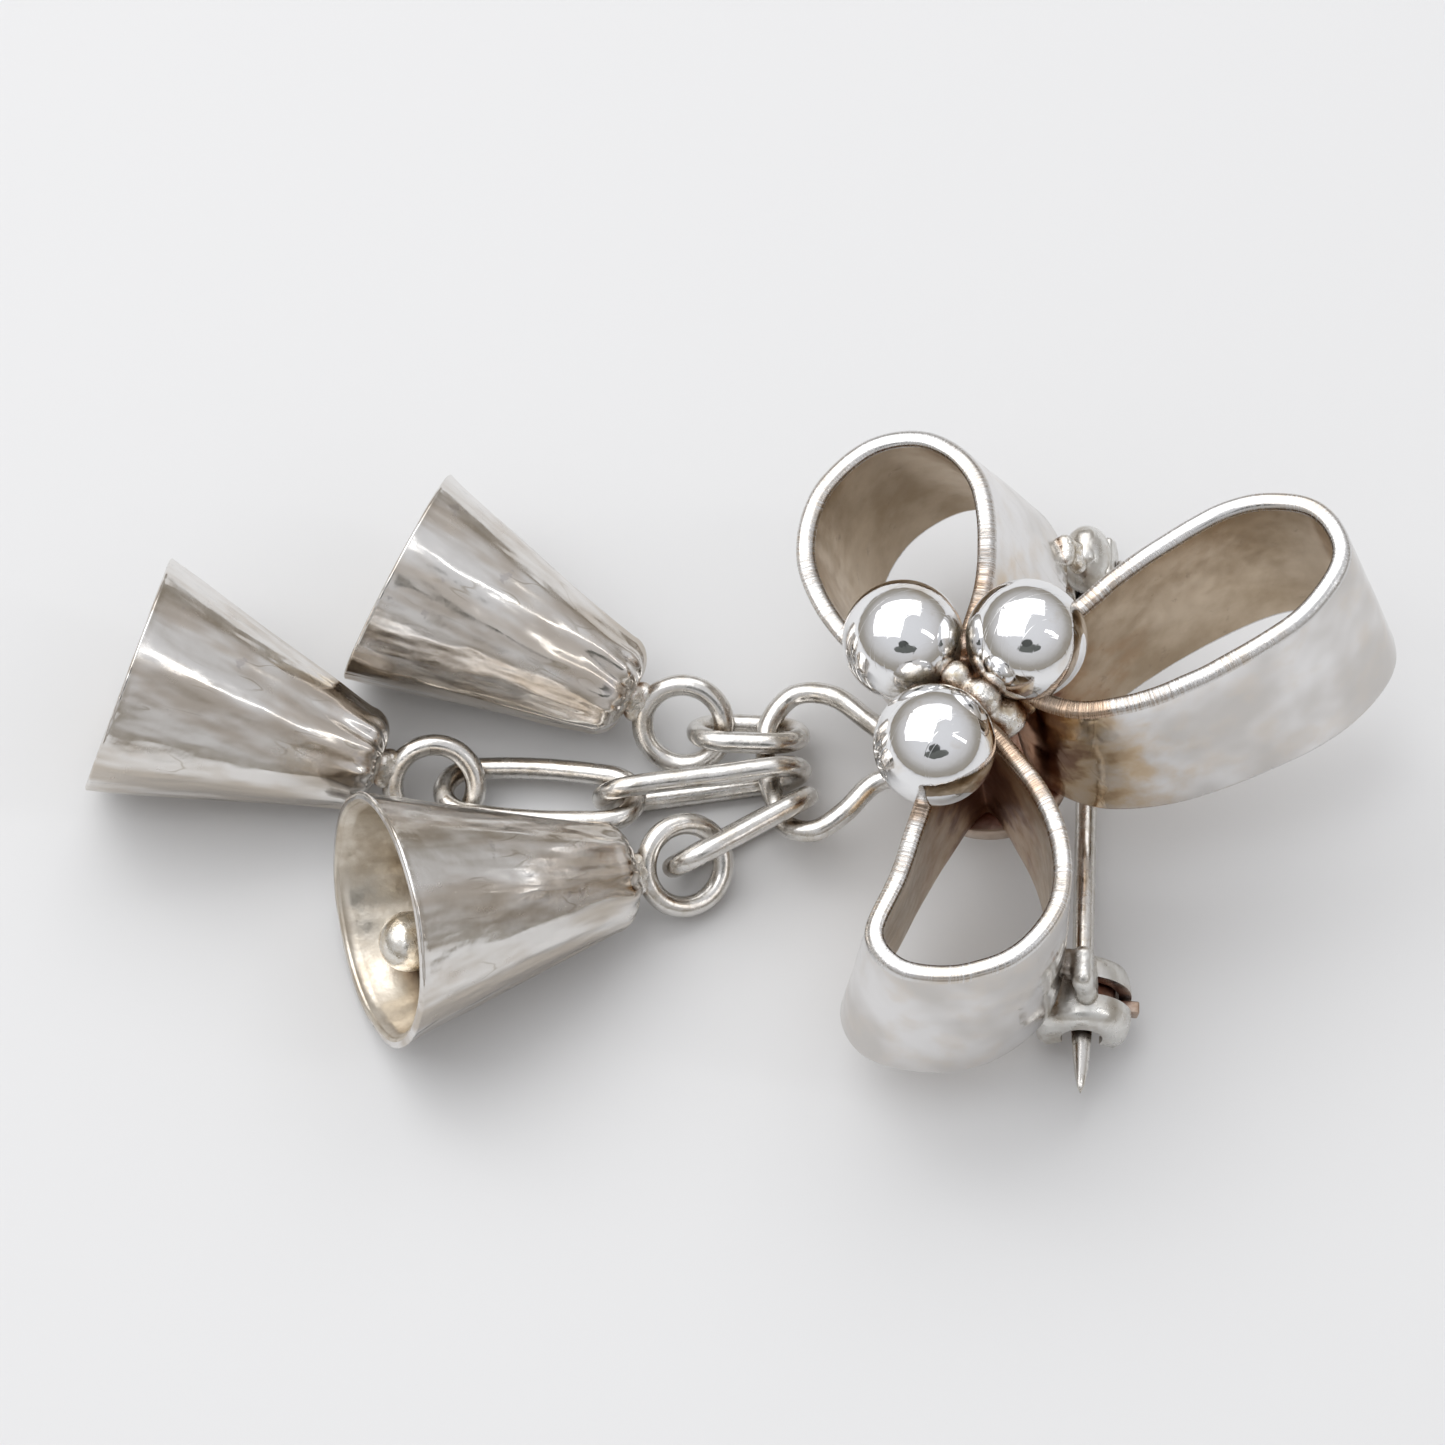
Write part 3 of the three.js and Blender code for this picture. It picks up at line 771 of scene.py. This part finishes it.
def back_plate():
    length, width, thickness, gap = BACK_PLATE.values()
    bevel, flat_share = 0.18, 0.96
    low, high = -thickness - gap, -gap
    profile = [
        (0, low), (0.5, low), (flat_share, low), (1, low + bevel),
        (1, high - bevel), (flat_share, high), (0.5, high), (0, high),
    ]
    piece = lathe("back_plate_tarnished", profile, BOW @ Matrix.Diagonal((length / 2, width / 2, 1, 1)))
    finish(piece, "brooch", "tarnished_silver", ["back_plate"], "dark_tarnish")


def knot_solder():
    """Solder between the balls, under them and where the ribbons meet."""
    to_bow = BOW.inverted()
    left, right, low = [
        to_bow @ centre_of(node) for node in ("ball_upper_left", "ball_upper_right", "ball_lower")
    ]
    blobs = []
    for one, other, size in ((left, right, 0.8), (left, low, 0.8), (right, low, 0.95)):
        middle = (one + other) / 2
        blobs += [(*(middle + Vector((0, 0, drop))), size) for drop in (-0.5, -1.5)]
    centre = (left + right + low) / 3
    blobs += [
        (centre.x, centre.y, centre.z + drop, size)
        for drop, size in ((-0.2, 0.85), (-1.3, 1.4), (-2.6, 1.9))
    ]
    for where in (left, right, low):
        toward = (centre - where) * 0.3
        blobs.append((where.x + toward.x, where.y + toward.y, where.z - 2.3, 1.7))
    blobs.append((1.4, -0.8, centre.z - 2.4, 1.2))
    piece = solder("knot_solder", blobs, BOW, seed=3.0)
    finish(piece, "brooch", "ribbon_silver", [], "solder_silver")


def bail():
    rise = math.tan(math.radians(BAIL_SLOPE))
    points = [(x, y, BAIL_LOW_END["z"] + (x - BAIL_LOW_END["x"]) * rise) for x, y in BAIL_ROUTE]
    route = spline(points, False, 120)
    flat = Vector((-rise, 0, 1)).normalized()
    piece = wire("bail_wire", route, flat, WIRE / 2, UPRIGHT_AT_KNOT, closed=False, seed=7.0)
    finish(piece, "brooch", "wire_silver", ["bail"], "wire_silver")


# ---- pin, hinge and catch


def pin_stem():
    radius, length, taper = PIN["radius"], PIN["length"], PIN["taper"]
    start = HINGE["eye_radius"] - 0.3
    steps = 60
    straight = [(radius, start + (length - taper - start) * index / steps) for index in range(steps + 1)]
    point = [
        (radius * math.sqrt(1 - (index / 12) ** 1.6), length - taper * (1 - index / 12))
        for index in range(1, 12)
    ]

    def worn(_, angle, z):
        facet = max(0.0, (z - length + taper) / taper)
        filed = -0.05 * facet * abs(math.sin(1.5 * angle + 0.4))
        return filed + 0.012 * ruffle((angle, z, 0), 1.4, 5.0)

    stem = lathe("stem", [(0, start), *straight, *point, (0, length)], PIN_FRAME, 32, worn)
    eye = disc_along_x("eye", HINGE["eye_radius"], HINGE["eye_width"] / 2, 0.18, PIN_FRAME)
    piece = merge("pin_stem_polished", [stem, eye])
    finish(piece, "pin", "finding_silver", ["pin_stem"], "wire_silver")


def disc_along_x(name, radius, half_width, bevel, matrix, at=0.0):
    """A disc or a rod along X with rounded rims. at is the place of its middle."""
    profile = [
        (0, at - half_width), (radius - bevel, at - half_width), *[
            (radius - bevel + x, at - half_width + bevel + y) for x, y in arc((0, 0), bevel, -90, 0, 5)
        ],
        *[(radius - bevel + x, at + half_width - bevel + y) for x, y in arc((0, 0), bevel, 0, 90, 5)],
        (0, at + half_width),
    ]
    piece = lathe(name, profile, matrix, 48)
    piece.data.transform(Matrix.Rotation(math.pi / 2, 4, "Y"))
    return piece


def soft_box(name, low, high, bevel, matrix):
    build = bmesh.new()
    made = bmesh.ops.create_cube(build, size=1)
    size = Vector(high) - Vector(low)
    middle = (Vector(high) + Vector(low)) / 2
    for vert in made["verts"]:
        vert.co = Vector([a * b for a, b in zip(vert.co, size)]) + middle
    bmesh.ops.bevel(build, geom=build.edges[:], offset=bevel, segments=4, profile=0.5, affect="EDGES")
    return smooth_piece(name, build, matrix)


def hinge_dome(half_width):
    """The domed cover over the bridge: half an ellipsoid that rises towards the bow."""
    low, high = HINGE["bridge_low"], HINGE["foot_high"]
    curve = [(math.cos(a), (high - low) * math.sin(a)) for a in quarter(14)]
    profile = [(0.0, 0.0), (0.6, 0.0), *curve]
    profile[-1] = (0.0, high - low)
    dome = lathe("dome", profile, PIN_FRAME, 48)
    stand = Matrix.Translation((0, low, 0)) @ Matrix.Rotation(-math.pi / 2, 4, "X")
    dome.data.transform(stand @ Matrix.Diagonal((half_width, HINGE["ear_radius"], 1, 1)))
    return dome


def hinge():
    inside = HINGE["eye_width"] / 2 + HINGE["gap"]
    outside = inside + HINGE["ear_thickness"]
    half = HINGE["ear_thickness"] / 2
    length = HINGE["foot_half_length"]
    parts = [
        disc_along_x("ear", HINGE["ear_radius"], half, 0.16, PIN_FRAME, at=sign * (inside + half))
        for sign in (-1, 1)
    ]
    parts.append(
        soft_box(
            "bridge", (-outside, HINGE["bridge_low"], -length), (outside, HINGE["bridge_high"], length),
            0.22, PIN_FRAME,
        )
    )
    parts.append(hinge_dome(outside))
    wide = HINGE["foot_half_width"]
    parts.append(
        soft_box(
            "foot", (-wide, HINGE["ear_radius"], -length), (wide, HINGE["foot_high"], length),
            0.6, PIN_FRAME,
        )
    )
    bracket = merge("hinge_bracket", parts)
    finish(bracket, "brooch", "finding_silver", ["pin_hinge_bracket"], "finding_silver")
    reach = outside + HINGE["gap"]
    half = HINGE["head_height"] / 2
    parts = [disc_along_x("shaft", HINGE["rivet_radius"], reach, 0.05, PIN_FRAME)]
    parts += [
        disc_along_x("head", HINGE["head_radius"], half, 0.1, PIN_FRAME, at=sign * (reach + half))
        for sign in (-1, 1)
    ]
    rivet = merge("hinge_rivet", parts)
    finish(rivet, "brooch", "finding_silver", ["pin_hinge_rivet"], "finding_silver")
    low, high = HINGE["foot_high"] - 0.4, HINGE["foot_high"] + 0.3
    seam = [(x, y, z, 0.5) for x, y in ((-0.3, low), (-0.85, high)) for z in (0.2, 0.6, 1.0)]
    lumps = solder("hinge_solder", seam, PIN_FRAME, seed=9.0)
    finish(lumps, "brooch", "finding_silver", [], "solder_silver")


def swept_arc(name, section, start, end, matrix, steps=72):
    """A closed (radius, z) section carried round Z from one angle to another, with flat ends."""
    rows = []
    for index in range(steps + 1):
        angle = math.radians(start + (end - start) * index / steps)
        rows.append([Vector((r * math.cos(angle), r * math.sin(angle), z)) for r, z in section])
    return surface(name, rows, matrix)


def barrel_outside():
    """The outside of the barrel's section, round like a ball, as (radius, z)."""
    outer, end, half = CATCH["outer_radius"], CATCH["end_radius"], CATCH["half_length"]
    steps = 16
    heights = [-half + 2 * half * index / steps for index in range(steps + 1)]
    return [(end + (outer - end) * math.sqrt(max(0, 1 - (z / half) ** 2)) ** 0.8, z) for z in heights]


def catch_barrel():
    half, lip = CATCH["half_length"], CATCH["lip"]
    lip_radius, bore = CATCH["lip_radius"], CATCH["bore_radius"]
    inner = [
        (lip_radius, half), (lip_radius, half - lip), (bore, half - lip),
        (bore, lip - half), (lip_radius, lip - half), (lip_radius, -half),
    ]
    slot_from, slot_to = CATCH["slot"]
    section = barrel_outside() + inner
    barrel = swept_arc("barrel", section, slot_to, slot_from + 360, CATCH_FRAME)
    groove_from, groove_to = CATCH["groove"]
    groove_half = CATCH["groove_half_width"]
    near, far = bore - 0.4, CATCH["outer_radius"] + 0.6
    cutter_section = [(near, -groove_half), (far, -groove_half), (far, groove_half), (near, groove_half)]
    cutter = swept_arc("groove", cutter_section, groove_from, groove_to, CATCH_FRAME, 24)
    bored = barrel.modifiers.new("groove", "BOOLEAN")
    bored.object = cutter
    bored.solver = "EXACT"
    bpy.context.view_layer.update()
    graph = bpy.context.evaluated_depsgraph_get()
    cut_mesh = bpy.data.meshes.new_from_object(barrel.evaluated_get(graph))
    bpy.data.objects.remove(barrel)
    bpy.data.objects.remove(cutter)
    piece = place("catch_barrel_worn", cut_mesh, CATCH_FRAME)
    soften(piece, 0.09, 3, 35)
    finish(piece, "brooch", "finding_silver", ["catch_barrel"], "finding_silver")
    foot_low, foot_top = 2.15, CATCH["foot_high"] - 0.5
    rows = [foot_low + (foot_top - foot_low) * index / 5 for index in range(6)]
    blobs = [(0.48, y, z, 0.56) for y in rows for z in (-0.62, -0.05, 0.52)]
    blobs += [(-0.25, y, z, 0.45) for y in (3.3, 3.75) for z in (-0.75, -0.25)]
    foot = solder("catch_foot", blobs, CATCH_FRAME, seed=15.0)
    finish(foot, "brooch", "finding_silver", [], "finding_silver")


def catch_rotor():
    half = CATCH["half_length"] - CATCH["lip"] - CATCH["rotor_gap"]
    radius, bore = CATCH["rotor_radius"], CATCH["rotor_bore"]
    section = [(bore, -half), (radius, -half), (radius, half), (bore, half)]
    slot_from, slot_to = CATCH["slot"]
    tube = swept_arc("tube", section, slot_to, slot_from + 360, CATCH_FRAME)
    wide = CATCH["lever_half_width"]
    reach = CATCH["lever_reach"]
    lever = soft_box("lever", (bore + 0.3, -wide, -wide), (reach, wide, wide), 0.1, CATCH_FRAME)
    lever.data.transform(Matrix.Rotation(math.radians(CATCH["lever_angle"]), 4, "Z"))
    piece = merge("catch_rotor_worn", [tube, lever])
    soften(piece, 0.05, 2, 30)
    finish(piece, "catch_lock", "tarnished_silver", ["catch_rotor"], "dark_tarnish")


# ---- chains and bells


def chain_link(node, body, near, far, bulge, seed):
    """An oval link between two joints. bulge is how much wider it is halfway, as a share."""
    start, end = joint_point(near), joint_point(far)
    matrix = placing(start, joint_axis(far), end - start)
    length = (end - start).length / MM
    bend = LINK_WIDTH / 2
    far_bend = length - bend
    outline = arc((0, 0), bend, 180, 360, 24)
    outline += arc((0, far_bend), bend, 0, 180, 24)
    dense = [Vector((x, 0, z)) for x, z in outline]
    dense.append(dense[0])
    route = evenly(dense, 120, True)
    for point in route:
        along = min(max(point.z / far_bend, 0), 1)
        point.x *= 1 + bulge * math.sin(math.pi * along) + 0.01 * ruffle((0, 0, point.z), 3.0, seed)
        point.y += 0.02 * ruffle((point.x, 0, point.z), 3.0, seed + 3)
    piece = wire(node + "_wire", route, Y, WIRE / 2, matrix, True, seed)
    finish(piece, body, "wire_silver", [node], "wire_silver")


def bell_profile(mouth_radius):
    """The bell's section as (radius, z), in three parts: down the outside, round the rim and back."""
    slope = (mouth_radius - BELL_CROWN_RADIUS) / BELL_LENGTH
    flat = BELL_CROWN_RADIUS - BELL_SHOULDER
    steps = 44
    bulge = BELL_CROWN_RADIUS + slope * BELL_SHOULDER - flat
    outer = [(0.0, 0.0), (flat * 0.5, 0.02)]
    outer += [
        (flat + bulge * math.sin(a), BELL_SHOULDER * (1 - math.cos(a))) for a in quarter(8)[:-1]
    ]
    rim = 0.2
    end = BELL_LENGTH - rim
    for index in range(steps + 1):
        z = BELL_SHOULDER + (end - BELL_SHOULDER) * index / steps
        outer.append((BELL_CROWN_RADIUS + slope * z, z))
    lip = [
        (mouth_radius - rim + rim * math.cos(a), end + rim * math.sin(a)) for a in quarter(4)[1:]
    ]
    lip += [
        (mouth_radius - BELL_WALL + rim - rim * math.sin(a), end + rim * math.cos(a))
        for a in quarter(4)
    ]
    inner = []
    for index in range(25):
        z = end - (end - BELL_SHOULDER - 0.3) * index / 24
        inner.append((BELL_CROWN_RADIUS + slope * z - BELL_WALL, z))
    inner += [(flat, CROWN_WALL), (0.0, CROWN_WALL)]
    return outer, lip, inner


def creases(seed):
    """Long uneven folds down a bell, deeper at the crown where the sheet was drawn in."""

    def fold(radius, angle, z):
        if radius < 1.0:
            return 0.0
        round_x, round_y = math.cos(angle), math.sin(angle)
        long_fold = noise.noise(Vector((2.1 * round_x, 2.1 * round_y, 0.045 * z + seed)))
        fine_fold = noise.noise(Vector((5.5 * round_x, 5.5 * round_y, 0.12 * z - seed)))
        lump = noise.noise(Vector((3.0 * round_x + seed, 3.0 * round_y, 0.5 * z)))
        at_crown = math.exp(-z / 1.6)
        gather = noise.noise(Vector((4.2 * round_x, 4.2 * round_y, 0.3 * z + 2 * seed)))
        keep = min(1.0, (BELL_LENGTH - z) / 2.0 + 0.35)
        folds = keep * (0.26 * long_fold + 0.07 * fine_fold + 0.03 * lump)
        return folds + 0.42 * at_crown * gather - 0.06

    return fold


def bell(name):
    """A bell from its crown's loop down to its clapper."""
    shape = BELLS[name]
    body = f"{name}_bell"
    clapper_joint = f"{name}_clapper_swing"
    hinge_point, pivot = joint_point(f"{body}_swing"), joint_point(clapper_joint)
    matrix = placing(hinge_point, -joint_axis(clapper_joint), pivot - hinge_point)
    crown_at = (pivot - hinge_point).length / MM - clapper_pivot()
    at_crown = matrix @ Matrix.Translation((0, 0, crown_at))
    fold = creases(shape["seed"])
    outer, lip, inner = bell_profile(shape["mouth_radius"])

    sides = 200
    shell = lathe(f"{name}_bell_creased", outer + lip + inner, at_crown, sides, fold)
    outside_faces = (len(outer) + len(lip) // 2) * sides
    for index, face in enumerate(shell.data.polygons):
        face.material_index = 0 if index < outside_faces else 1
    looks = "bell_silver", "bell_inside"
    finish(shell, body, "bell_silver", [f"{name}_bell_shell"], *looks)

    loop_centre = crown_at - SOLDER_GAP - WIRE / 2 - BELL_LOOP_RADIUS
    rolled = matrix @ Matrix.Rotation(math.radians(shape["loop_roll"]), 4, "Z")
    route = ring_route(BELL_LOOP_RADIUS, loop_centre)
    loop = wire(f"{name}_bell_loop_wire", route, Y, WIRE / 2, rolled, True, shape["seed"])
    finish(loop, body, "wire_silver", [f"{name}_bell_loop"], "wire_silver")

    neck = crown_at - SOLDER_GAP / 2
    blobs = [
        (0, 0, neck - 0.35, 0.62), (0, 0, neck + 0.1, 0.8), (0.55, 0.1, neck - 0.25, 0.5),
        (-0.55, 0, neck - 0.25, 0.52), (0.2, -0.5, neck + 0.2, 0.6), (-0.3, 0.45, neck + 0.2, 0.55),
    ]
    lumps = solder(f"{name}_bell_solder", blobs, rolled, grain=0.1, seed=shape["seed"])
    finish(lumps, body, "bell_silver", [], "solder_silver")

    hook_centre = CROWN_WALL + HOOK["gap"] + HOOK["radius"] + HOOK["wire"] / 2
    route = ring_route(HOOK["radius"], hook_centre, 32)
    hook = wire(f"{name}_hook_wire", route, Y, HOOK["wire"] / 2, at_crown, True, 1.0, 12)
    finish(hook, body, "tarnished_silver", [f"{name}_bell_clapper_hook"], "wire_silver")
    clapper(name, matrix @ Matrix.Translation((0, 0, crown_at + clapper_pivot())), shape["seed"])


def clapper(name, at_pivot, seed):
    reach, radius, stem, drop = CLAPPER["reach"], CLAPPER["radius"], CLAPPER["stem"], CLAPPER["drop"]
    matrix = at_pivot @ Matrix.Rotation(math.radians(CLAPPER["rest_angle"]), 4, "X")
    ring_centre = HOOK["radius"] - HOOK["wire"] - 0.05
    ring = wire(
        "ring", [Vector((0, p.x, p.z)) for p in ring_route(HOOK["radius"], ring_centre, 32)],
        X, HOOK["wire"] / 2, matrix, True, 2.0, 12,
    )
    start = ring_centre + HOOK["radius"]
    profile = [(0.0, start), (stem, start)]
    steps = 14
    for index in range(steps + 1):
        share = index / steps
        z = reach - drop + (drop - radius) * share
        profile.append((stem + (radius - stem) * share ** 1.25 * (2 - share) ** 0.6, z))
    profile += [
        (radius * math.cos(a), reach - radius + radius * math.sin(a))
        for a in quarter(10)[1:-1]
    ]
    profile.append((0.0, reach))

    def dented(wide, angle, z):
        at = (wide * math.cos(angle), wide * math.sin(angle), z)
        return 0.09 * min(1.0, wide) * ruffle(at, 1.3, seed) - 0.02

    body = lathe("drop", profile, matrix, 48, dented)
    piece = merge(f"{name}_clapper_drop", [ring, body])
    node = f"{name}_bell_clapper"
    finish(piece, f"{name}_clapper", "tarnished_silver", [node], "clapper_silver")


# ---- stage


def matt(name, tone, roughness):
    """A plain material for what isn't part of the object."""
    s = Shader(name)
    s.surface.inputs["Metallic"].default_value = 0.0
    s.surface.inputs["Base Color"].default_value = (*tone, 1)
    s.surface.inputs["Roughness"].default_value = roughness
    return s.material


def floor():
    mesh = bpy.data.meshes.new("floor")
    size = 3.0
    corners = [(-size, -size, 0), (size, -size, 0), (size, size, 0), (-size, size, 0)]
    mesh.from_pydata(corners, [], [(0, 1, 2, 3)])
    plane = add("floor", mesh)
    plane.location.z = -0.05 * MM
    mesh.materials.append(matt("pale_floor", (0.70, 0.70, 0.70), 0.9))


def towards(azimuth, elevation):
    """A direction from the object, in degrees. Azimuth 0 is in front, along -Y."""
    a, e = math.radians(azimuth), math.radians(elevation)
    return Vector((math.sin(a) * math.cos(e), -math.cos(a) * math.cos(e), math.sin(e)))


def look_back(thing, away, distance, centre):
    """Stands a thing off from a centre, with its -Z towards it."""
    thing.location = centre + away * distance
    thing.rotation_mode = "QUATERNION"
    thing.rotation_quaternion = away.to_track_quat("Z", "Y")


def softbox(name, azimuth, elevation, distance, size, brightness):
    """A soft rectangular light that faces the object."""
    data = bpy.data.lights.new(name, "AREA")
    data.shape = "RECTANGLE"
    data.size, data.size_y = size
    data.energy = brightness * math.pi * size[0] * size[1]
    light = add(name, data)
    look_back(light, towards(azimuth, elevation), distance, Vector())
    light.visible_camera = False


def dark_card(name, azimuth, elevation, distance, size, tone):
    """An oval card that only reflections see, as a dark shape in the room."""
    mesh = bpy.data.meshes.new(name)
    outline = arc((0, 0), 0.5, 0, 360, 33)[:-1]
    corners = [(x * size[0], y * size[1], 0) for x, y in outline]
    mesh.from_pydata(corners, [], [range(len(corners))])
    card = add(name, mesh)
    look_back(card, towards(azimuth, elevation), distance, Vector())
    card.visible_camera = False
    card.visible_shadow = False
    card.visible_diffuse = False
    mesh.materials.append(matt(name, tone, 1.0))


def room():
    """A pale room that is brighter overhead and darker and warmer low down."""
    world = bpy.data.worlds.new("room")
    bpy.context.scene.world = world
    world.use_nodes = True
    tree = world.node_tree
    background = tree.nodes["Background"]
    where = tree.nodes.new("ShaderNodeTexCoord")
    split = tree.nodes.new("ShaderNodeSeparateXYZ")
    ramp = tree.nodes.new("ShaderNodeValToRGB")
    tree.links.new(where.outputs["Generated"], split.inputs["Vector"])
    tree.links.new(split.outputs["Z"], ramp.inputs["Fac"])
    tree.links.new(ramp.outputs["Color"], background.inputs["Color"])
    stops = ramp.color_ramp.elements
    stops[0].position, stops[0].color = 0.0, (0.34, 0.31, 0.265, 1)
    stops[1].position, stops[1].color = 1.0, (0.80, 0.81, 0.84, 1)
    between = ((0.18, (0.38, 0.36, 0.33)), (0.4, (0.60, 0.59, 0.59)), (0.7, (0.74, 0.745, 0.77)))
    for position, colour in between:
        stop = stops.new(position)
        stop.color = (*colour, 1)
    background.inputs["Strength"].default_value = 0.95


def camera():
    """The view of the reference picture: from the front, 63 degrees up and 250 mm away."""
    focal_share = 5000 / 1445  # focal length over the picture's width
    knot_from_aim = Vector((13.126, -5.219, 4.75)) * MM
    data = bpy.data.cameras.new("camera")
    data.sensor_width = 36
    data.lens = data.sensor_width * focal_share
    data.clip_start, data.clip_end = 0.01, 10
    view = add("camera", data)
    look_back(view, towards(0, 63), 250 * MM, KNOT - knot_from_aim)
    bpy.context.scene.camera = view


# ---- build it all

for number, side in enumerate(RIBBONS):
    ribbon(side, 4.0 + 9 * number)
for number, place_name in enumerate(("upper_left", "upper_right", "lower")):
    ball("ball_" + place_name, 1.5 + 6 * number)
back_plate()
knot_solder()
bail()
pin_stem()
hinge()
catch_barrel()
catch_rotor()
for link, near, far, bulge, seed in (
    ("upper", "upper_link", "upper_bell", 0.0, 2.0),
    ("middle_inner", "middle_link", "middle_outer", 0.0, 3.0),
    ("middle_outer", "middle_outer", "middle_bell", 0.12, 4.0),
    ("lower", "lower_link", "lower_bell", 0.05, 5.0),
):
    chain_link(f"chain_link_{link}", f"{link}_link", f"{near}_swing", f"{far}_swing", bulge, seed)
for bell_name in BELLS:
    bell(bell_name)

floor()
room()
softbox("window", azimuth=252, elevation=62, distance=0.55, size=(0.5, 0.56), brightness=1.7)
softbox("north_wall", azimuth=185, elevation=52, distance=0.7, size=(0.8, 0.42), brightness=1.25)
softbox("side_strip", azimuth=78, elevation=44, distance=0.6, size=(0.05, 0.3), brightness=3.0)
dark_card("shoulders", azimuth=4, elevation=47, distance=0.6, size=(0.46, 0.17), tone=(0.16, 0.17, 0.16))
dark_card("head", azimuth=358, elevation=57, distance=0.6, size=(0.2, 0.15), tone=(0.1, 0.105, 0.1))
camera()
bpy.context.scene.view_settings.view_transform = "Standard"
